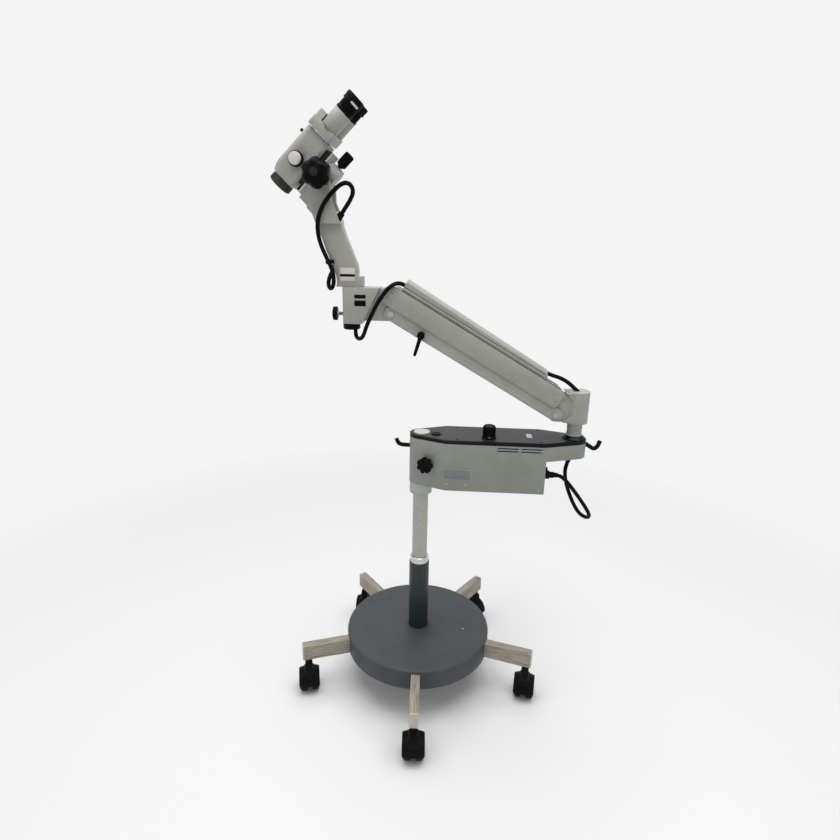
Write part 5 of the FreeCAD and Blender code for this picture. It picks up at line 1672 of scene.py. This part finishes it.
@dataclass
class SpringArm:
    """The rear head, the cover with its duct, the lower link and the brake lever."""

    bench: Bench
    arm_length: float = 523.0
    cover_half: float = 32.0
    cover_rise: float = 25.5
    duct_half: float = 21.0

    def build(self) -> None:
        """Dresses the arm's pieces."""
        bench = self.bench
        bench.soften("rear_housing", "rear_head", Finishes.ARM, 0.0014)
        bench.soften("rear_pins", "rear_head", Finishes.PIN, 0.0008)
        bench.soften("arm_cover", "arm_upper", Finishes.ARM, 0.0014)
        bench.soften("cable_duct", "arm_upper", Finishes.ARM, 0.0012)
        bench.paint("spring_cartridge", Finishes.INNER)
        bench.soften("arm_lower_link", "arm_lower", Finishes.ARM, 0.0012)
        self.duct_highlight_and_shade_lines()
        self.pin_caps()
        self.lever()

    def duct_highlight_and_shade_lines(self) -> None:
        """Lays a raised bead in a pale painted highlight and a line of painted shade on each side of the
        duct, and a strip of painted shade by its foot.
        """
        shapes, finishes = [], []
        for side in (-1, 1):
            face = side * self.duct_half
            # Painted highlight: the pale bead stands for the light along its top; painted shade: the dark
            # line stands for the shade in the groove above it
            for rise, height, proud, finish in (
                (6.8, 1.6, 0.8, Finishes.BEAD_HIGHLIGHT), (12.0, 1.4, 0.3, Finishes.GAP_SHADE)
            ):
                low, high = sorted((face - side * 0.2, face + side * proud))
                foot = self.cover_rise + rise
                shapes.append(box_shape((20, low, foot), (460, high, foot + height), 0.25))
                finishes.append(finish)
        mesh = settle(shapes, LAYOUT.cover, finishes)
        self.bench.own("duct_bead_highlights_and_shade_lines", mesh, "arm_upper", Finishes.BEAD_HIGHLIGHT)
        # Painted shade: dark strips by the duct's foot stand for the shade in the gap between duct and cover
        gap_shade = []
        for side in (-1, 1):
            low, high = sorted((side * (self.duct_half + 0.1), side * (self.duct_half + 6.0)))
            gap_shade.append(box_shape((2, low, self.cover_rise - 0.1), (517, high, self.cover_rise + 1.6), 0.3))
        mesh = settle(gap_shade, LAYOUT.cover, [Finishes.GAP_SHADE])
        self.bench.own("cover_gap_shade_strips", mesh, "arm_upper", Finishes.GAP_SHADE)

    def pin_caps(self) -> None:
        """Closes the cover's pivot holes with pale caps and sets the cover's screws."""
        shapes = []
        for along in (0.0, self.arm_length):
            for side in (-1, 1):
                place = facing((along * MM, side * (self.cover_half - 0.6) * MM, 0), (0, side, 0))
                cap = lathe([(0, 0), (0, 7.6), (1.2, 7.6), (1.9, 6.8), (2.1, 5.0), (2.1, 0)], 32)
                cap.transform(place)
                shapes.append(cap)
        mesh = settle(shapes, LAYOUT.cover, [Finishes.ARM])
        self.bench.own("pivot_caps", mesh, "arm_upper", Finishes.ARM)
        spots = []
        for along in (60.0, 430.0):
            for side in (-1, 1):
                spot = LAYOUT.cover @ Vector((along * MM, side * (self.cover_half + 0.3) * MM, -0.017))
                spots.append((tuple(spot), (0.0, float(side), 0.0)))
        self.bench.own(
            "cover_screws", SCREWS.mesh(spots, 2.6, 0.9, Finishes.RAIL), "arm_upper", Finishes.RAIL
        )

    def lever(self) -> None:
        """Makes the tapered brake lever with its round hub."""
        skin = self.bench.soften("brake_lever", "arm_brake", Finishes.GLOSS, 0.0016, 20.0)
        skin.name = "brake_handle"


# The front block


@dataclass
class FrontBlock:
    """The block at the arm's front, its cap and the knob that clamps the carrier."""

    bench: Bench
    half: float = 35.0
    clamp_rise: float = 23.0
    block_left: float = 19.5
    clamp_radius: float = 18.5
    clamp_thickness: float = 13.0

    def build(self) -> None:
        """Dresses the block's pieces."""
        bench = self.bench
        bench.soften("front_block", "front_block", Finishes.ARM, 0.0014)
        bench.soften("front_pins", "front_block", Finishes.PIN, 0.0008)
        bench.soften("swivel_cap", "front_block", Finishes.BLACK, 0.0012)
        self.plate()
        self.clamp()

    def plate(self) -> None:
        """Sets two bare dark plates on the near side of the block."""
        x, z = LAYOUT.front_low
        x, z = x / MM - 108, z / MM
        near, deep = -self.half - 0.8, -self.half + 0.2
        upper = box_shape((x + 13.6, near, z + 40.3), (x + 43.6, deep, z + 50), 0.4)
        lower = box_shape((x + 13.6, near, z + 20.5), (x + 43.6, deep, z + 35), 0.4)
        mesh = settle([upper, lower], None, [Finishes.GLOSS])
        self.bench.own("bare_block_plates", mesh, "front_block", Finishes.GLOSS)

    def clamp(self) -> None:
        """Makes the clamp knob: a ribbed disc with a dished face on a threaded stem."""
        x, z = LAYOUT.swivel_x, LAYOUT.front_low[1] + (self.clamp_rise - 26.5) * MM
        place = facing((x, 0, z), (-1, 0, 0))
        near = self.block_left + 18
        far = near + self.clamp_thickness
        wide = self.clamp_radius
        stem = [(12.3, 0), (12.3, 5), (self.block_left + 1, 5)]
        for turn in range(8):
            at = self.block_left + 2 + turn * 1.8
            stem += [(at, 4.6), (at + 0.9, 5.0)]
        stem += [(near + 0.5, 5), (near + 0.5, 0)]
        grip = [
            (near, 0), (near, 9), (near + 0.6, wide - 3.4), (near + 2.2, wide - 1.6),
            (far - 2.2, wide - 1.6), (far - 0.8, wide - 2.8), (far - 0.2, wide - 5.0), (far - 1.4, 9.5),
            (far - 1.4, 0)
        ]
        mesh = settle([lathe(grip, 72), lathe(stem, 28)], place, [Finishes.BLACK, Finishes.RAIL])
        self.bench.own("carrier_clamp_grip", mesh, "carrier_clamp", Finishes.BLACK, ["carrier_clamp_knob"])
        ribs = RIBS.mesh(
            place, 30, wide - 1.4, 1.9, 2.4, near + 1.6, self.clamp_thickness - 3.4, Finishes.BLACK
        )
        self.bench.own("carrier_clamp_ribs", ribs, "carrier_clamp", Finishes.BLACK)


# The carrier


@dataclass
class Carrier:
    """The cranked carrier with its fork, its bare label and the cable's clip."""

    bench: Bench
    half: float = 20.0

    def build(self) -> None:
        """Dresses the carrier's pieces."""
        bench = self.bench
        bench.soften("carrier_arm", "carrier", Finishes.ARM, 0.0016)
        bench.soften("carrier_gland", "carrier", Finishes.BLACK, 0.0008)
        self.label()

    def label(self) -> None:
        """Sets a bare pale label with one dark strip on the carrier's foot."""
        x, z = LAYOUT.swivel_x / MM, LAYOUT.front_high[1] / MM + 19.8
        pale = box_shape((x - 25.5, -self.half - 0.5, z + 16), (x + 13, -self.half + 0.1, z + 49), 0.2)
        dark = box_shape((x - 25.5, -self.half - 0.8, z + 26.5), (x + 13, -self.half - 0.3, z + 33), 0.15)
        mesh = settle([pale, dark], None, [Finishes.WHITE, Finishes.BLACK])
        self.bench.own("bare_carrier_label", mesh, "carrier", Finishes.WHITE)


# The tilt drive


@dataclass
class TiltDrive:
    """The drive under the head: housing, rail, focus knob and the big tilt knob."""

    bench: Bench
    knob_start: float = 40.0
    knob_length: float = 48.0
    knob_radius: float = 37.0
    stem_radius: float = 16.0
    fork_half: float = 34.0
    focus_below: float = 79.0
    focus_start: float = 56.0
    focus_radius: float = 13.0
    focus_length: float = 37.0

    def build(self) -> None:
        """Dresses the drive's pieces."""
        bench = self.bench
        bench.soften("tilt_housing", "tilt", Finishes.ARM, 0.0012)
        rail = bench.soften("focus_rail", "tilt", Finishes.BLACKED, 0.0005)
        rail.data.materials.append(Finishes.RAIL.material())
        for face in rail.data.polygons:
            if abs(face.normal.y) > 0.98:
                face.material_index = 1
        self.tilt_knob()
        self.focus_knob()

    def tilt_knob(self) -> None:
        """Makes the glossy six-lobed tilt knob, deeply rounded at its rim."""
        x, z = LAYOUT.tilt
        place = facing((x, 0, z), (0, -1, 0), (math.sin(math.radians(30)), 0, -math.cos(math.radians(30))))
        start, end, wide = self.knob_start, self.knob_start + self.knob_length, self.knob_radius

        def lobes(angle: float, along: float, radius: float) -> float:
            """Draws the six lobes, deepest at the widest part."""
            if radius < 20:
                return radius
            wave = 0.5 - 0.5 * math.cos(6 * angle)
            depth = 4.2 * min(1.0, (radius - 20) / 12)
            return radius - depth * wave**1.5

        profile = [
            (self.fork_half + 0.3, 0), (self.fork_half + 0.3, self.stem_radius),
            (start + 1, self.stem_radius), (start + 1.4, 24), (start + 3.0, 30), (start + 6.0, 34.4),
            (start + 11.0, 36.6), (start + 17, wide), (end - 21, wide - 0.4), (end - 14, wide - 2.2),
            (end - 8.5, wide - 6.0), (end - 4.6, 25.5), (end - 2.6, 20), (end - 2.2, 15.5),
            (end - 0.9, 13.8), (end - 0.6, 0)
        ]
        boss = [(end - 0.8, 0), (end - 0.8, 10.0), (end - 0.3, 10.0), (end, 9.0), (end, 0)]
        shapes = [lathe(profile, 144, lobes), lathe(boss, 40)]
        mesh = settle(shapes, place, [Finishes.GLOSS, Finishes.BLACKED], 40)
        self.bench.own("tilt_grip", mesh, "tilt_knob", Finishes.GLOSS, ["tilt_knob"])

    def focus_knob(self) -> None:
        """Makes the slim ribbed focus knob."""
        origin = LAYOUT.head @ Vector((0, 0, -self.focus_below * MM))
        place = facing(origin, LAYOUT.head.to_3x3() @ Vector((1, 0, 0)), (0, 1, 0))
        start, wide = self.focus_start, self.focus_radius
        end = start + 4.5 + self.focus_length
        profile = [
            (start - 16, 0), (start - 16, 4), (start + 0.3, 4), (start + 0.3, 7.4), (start + 3.6, 7.4),
            (start + 4, 9.5), (start + 5.0, wide - 1.4), (start + 6.5, wide - 1.1), (end - 2.2, wide - 1.1),
            (end - 0.8, wide - 2.0), (end - 0.2, wide - 3.6), (end - 1.0, 6.0), (end - 1.0, 0)
        ]
        mesh = settle([lathe(profile, 56)], place, [Finishes.BLACK])
        self.bench.own("focus_grip", mesh, "focus_knob", Finishes.BLACK, ["focus_knob"])
        ribs = RIBS.mesh(place, 28, wide - 1.0, 1.3, 1.8, start + 7.5, end - start - 10.5, Finishes.BLACK)
        self.bench.own("focus_ribs", ribs, "focus_knob", Finishes.BLACK)


# The microscope head


@dataclass
class MicroscopeHead:
    """The optical body, its objective, the magnification knobs and the binocular."""

    bench: Bench
    body_front: float = 62.0
    body_back: float = 75.0
    body_half: float = 38.0
    body_high: float = 35.0
    ring_length: float = 24.0
    ring_radius: float = 30.0
    ring_bore: float = 22.0
    ring_mouth: float = 24.0
    changer_at: float = -4.0
    eye_half: float = 31.0
    eye_below: float = 9.0
    tube_end: float = 152.0

    def build(self) -> None:
        """Dresses the head's pieces."""
        bench = self.bench
        bench.soften("head_body", "head", Finishes.ARM, 0.0014)
        bench.soften("slide_bracket", "head", Finishes.BLACKED, 0.001)
        bench.soften("binocular_base", "head", Finishes.ARM, 0.0012)
        self.objective()
        self.flange()
        self.changer()
        self.side_panel()
        for name, side in (("left", 1), ("right", -1)):
            bench.soften(f"tube_{name}", f"tube_{name}", Finishes.ARM, 0.0011)
            self.eyepiece(name, side)

    def along(self, u: float, y: float, v: float) -> Vector:
        """Turns a point of the head's frame, in millimetres, to the part's frame."""
        return LAYOUT.head @ (Vector((u, y, v)) * MM)

    def axis(self) -> Vector:
        """Gives the optical axis, towards the eyes."""
        return LAYOUT.head.to_3x3() @ Vector((1, 0, 0))

    def objective(self) -> None:
        """Makes the ribbed objective ring, with its thread inside, and the curved lens."""
        place = facing(self.along(0, 0, 0), self.axis(), (0, 1, 0))
        near, far = -self.body_front - self.ring_length, -self.body_front
        wide, bore, mouth = self.ring_radius, self.ring_bore, self.ring_mouth
        outer = [
            (far, bore), (far, wide - 2), (far - 4.6, wide - 2), (far - 5.2, wide - 0.6),
            (near + 2.4, wide - 0.6), (near + 1.0, wide - 1.6), (near, wide - 3.4), (near, mouth + 1)
        ]
        for turn in range(4):
            outer += [(near + 1.2 + turn * 1.6, mouth), (near + 2.0 + turn * 1.6, mouth + 0.5)]
        outer += [(near + 8, mouth), (near + 8, bore)]
        mesh = settle([hollow(outer, 96)], place, [Finishes.RING])
        self.bench.own("objective_mount", mesh, "head", Finishes.RING, ["objective_ring"])
        ribs = RIBS.mesh(place, 60, wide - 0.5, 1.4, 0.9, near + 3.0, self.ring_length - 10, Finishes.RING)
        self.bench.own("objective_ribs", ribs, "head", Finishes.RING)
        start = near + 8
        bulge = [
            (start + 6, 0), (start + 6, bore - 0.1), (start + 2.2, bore - 0.1), (start + 1.2, 18),
            (start + 0.4, 10), (start, 0)
        ]
        mesh = settle([lathe(bulge, 64)], place, [Finishes.GLASS], 50)
        self.bench.own("objective_glass", mesh, "head", Finishes.GLASS, ["objective_lens"])

    def flange(self) -> None:
        """Adds the bright joint ring between body and binocular, and the thumb screw on top."""
        place = facing(self.along(self.body_back, 0, 0), self.axis(), (0, 1, 0))
        ring = [(0.2, 29), (0.2, 31.0), (0.8, 31.4), (2.2, 31.4), (2.8, 31.0), (2.8, 29)]
        mesh = settle([hollow(ring, 80)], place, [Finishes.CHROME])
        self.bench.own("joint_ring", mesh, "head", Finishes.CHROME)
        up = LAYOUT.head.to_3x3() @ Vector((0, 0, 1))
        thumb = [(-0.4, 0), (-0.4, 3.4), (8.4, 3.4), (9.0, 4.3), (13.4, 4.3), (14.0, 3.7), (14.0, 0)]
        mesh = settle([lathe(thumb, 28)], facing(self.along(51, 0, self.body_high), up), [Finishes.BLACKED])
        self.bench.own("head_thumb_pin", mesh, "head", Finishes.BLACKED)

    def changer(self) -> None:
        """Makes the two magnification knobs: a black ribbed skirt round a white face."""
        turn = LAYOUT.head.to_3x3()
        shapes, finishes = [], []
        core = lathe(
            [
                (-self.body_half - 1, 0), (-self.body_half - 1, 12), (self.body_half + 1, 12),
                (self.body_half + 1, 0)
            ],
            40
        )
        core.transform(facing(self.along(self.changer_at, 0, 0), (0, 1, 0), turn @ Vector((0, 0, 1))))
        shapes.append(core)
        finishes.append(Finishes.BLACK)
        for side in (1, -1):
            place = facing(
                self.along(self.changer_at, side * self.body_half, 0), (0, side, 0),
                turn @ Vector((0, 0, 1))
            )
            skirt = lathe(
                [(0.3, 0), (0.3, 17.4), (1.0, 17.8), (12.8, 17.8), (13.9, 17.2), (14.3, 16.0), (14.3, 0)],
                64
            )
            face = lathe([(14.0, 0), (14.0, 15.5), (18.6, 15.5), (19.8, 15.0), (20.3, 14.0), (20.3, 0)], 64)
            for shape, finish in ((skirt, Finishes.BLACK), (face, Finishes.WHITE)):
                shape.transform(place)
                shapes.append(shape)
                finishes.append(finish)
            ribs = RIBS.mesh(place, 40, 17.8, 1.2, 1.3, 1.6, 10.8, Finishes.BLACK)
            self.bench.own(
                f"changer_ribs_{'left' if side > 0 else 'right'}", ribs, "magnification", Finishes.BLACK
            )
        mesh = settle(shapes, None, finishes)
        self.bench.own("magnification_grips", mesh, "magnification", Finishes.BLACK, ["magnification_knobs"])

    def side_panel(self) -> None:
        """Sets the small screws in the two sides of the body."""
        spots = []
        for side in (-1, 1):
            for u, v in ((32.0, -4.0), (62.0, 24.0), (62.0, -24.0), (-48.0, -24.0)):
                spots.append(
                    (tuple(self.along(u, side * (self.body_half + 0.2), v)), (0.0, float(side), 0.0))
                )
        self.bench.own("body_screws", SCREWS.mesh(spots, 1.9, 0.8, Finishes.RAIL), "head", Finishes.RAIL)

    def eyepiece(self, name: str, side: int) -> None:
        """Makes one eyepiece: barrel, ribbed dioptre ring, pale strip on the cup, rubber cup and lens.

        Args:
            name: left or right.
            side: 1 for the left one and -1 for the right one.
        """
        centre = self.along(self.tube_end, side * self.eye_half, -self.eye_below)
        place = facing(centre, self.axis(), (0, 1, 0))
        body = [
            (-28, 0), (-28, 15), (0.3, 15), (0.3, 22.4), (0.9, 23), (7.2, 23), (8.0, 22.0), (8.4, 20.8),
            (25.6, 20.8), (26.0, 22.0), (26.0, 0)
        ]
        cup = [
            (26.0, 18), (26.0, 23.2), (27.6, 24.5), (31, 24.5), (33, 23.8), (35, 23.8), (37, 24.5),
            (45.2, 24.5), (46.8, 24.0), (47.5, 22.8), (47.5, 20.0), (46.6, 18.4), (38.0, 13.4), (37.2, 13.0)
        ]
        lens = [(36.0, 0), (36.0, 13.2), (37.2, 13.2), (38.4, 10), (39.2, 5), (39.4, 0)]
        # A pale strip lies round part of the cup's outer side
        outer = 180.0 if side < 0 else 0.0
        arc = [math.radians(outer + side * (8.0 + 6.0 * step)) for step in range(10)]
        strip = bmesh.new()
        edges = []
        for at, reach in ((27.8, 23.0), (27.8, 24.75), (33.0, 24.75), (33.0, 23.0)):
            edges.append(
                [strip.verts.new((at * MM, reach * MM * math.sin(a), reach * MM * math.cos(a))) for a in arc]
            )
        for first, second in zip(edges, edges[1:] + edges[:1]):
            for step in range(len(arc) - 1):
                strip.faces.new((first[step], first[step + 1], second[step + 1], second[step]))
        strip.faces.new([edge[0] for edge in edges])
        strip.faces.new([edge[-1] for edge in edges])
        shapes = [lathe(body, 72), lathe(cup, 72), lathe(lens, 48), strip]
        finishes = [Finishes.BLACK, Finishes.RUBBER, Finishes.GLASS, Finishes.WHITE]
        mesh = settle(shapes, place, finishes)
        self.bench.own(f"ocular_{name}", mesh, f"eyepiece_{name}", Finishes.BLACK, [f"eyepiece_{name}"])
        ribs = RIBS.mesh(place, 52, 21.1, 1.3, 1.4, 9.2, 15.6, Finishes.BLACK)
        self.bench.own(f"dioptre_ribs_{name}", ribs, f"eyepiece_{name}", Finishes.BLACK)


def main() -> None:
    """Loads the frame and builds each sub-assembly in order."""
    logging.basicConfig(level=logging.INFO, format="%(name)s %(message)s")
    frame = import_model()
    bench = Bench(frame)
    Studio().build()
    for assembly in (
        Cables(bench),
        StarBase(bench),
        Casters(bench),
        PowerBox(bench),
        SpringArm(bench),
        FrontBlock(bench),
        Carrier(bench),
        TiltDrive(bench),
        MicroscopeHead(bench),
    ):
        assembly.build()
        LOG.info("%s is built, %d pieces so far", type(assembly).__name__, bench.count)


if __name__ == "__main__":
    main()
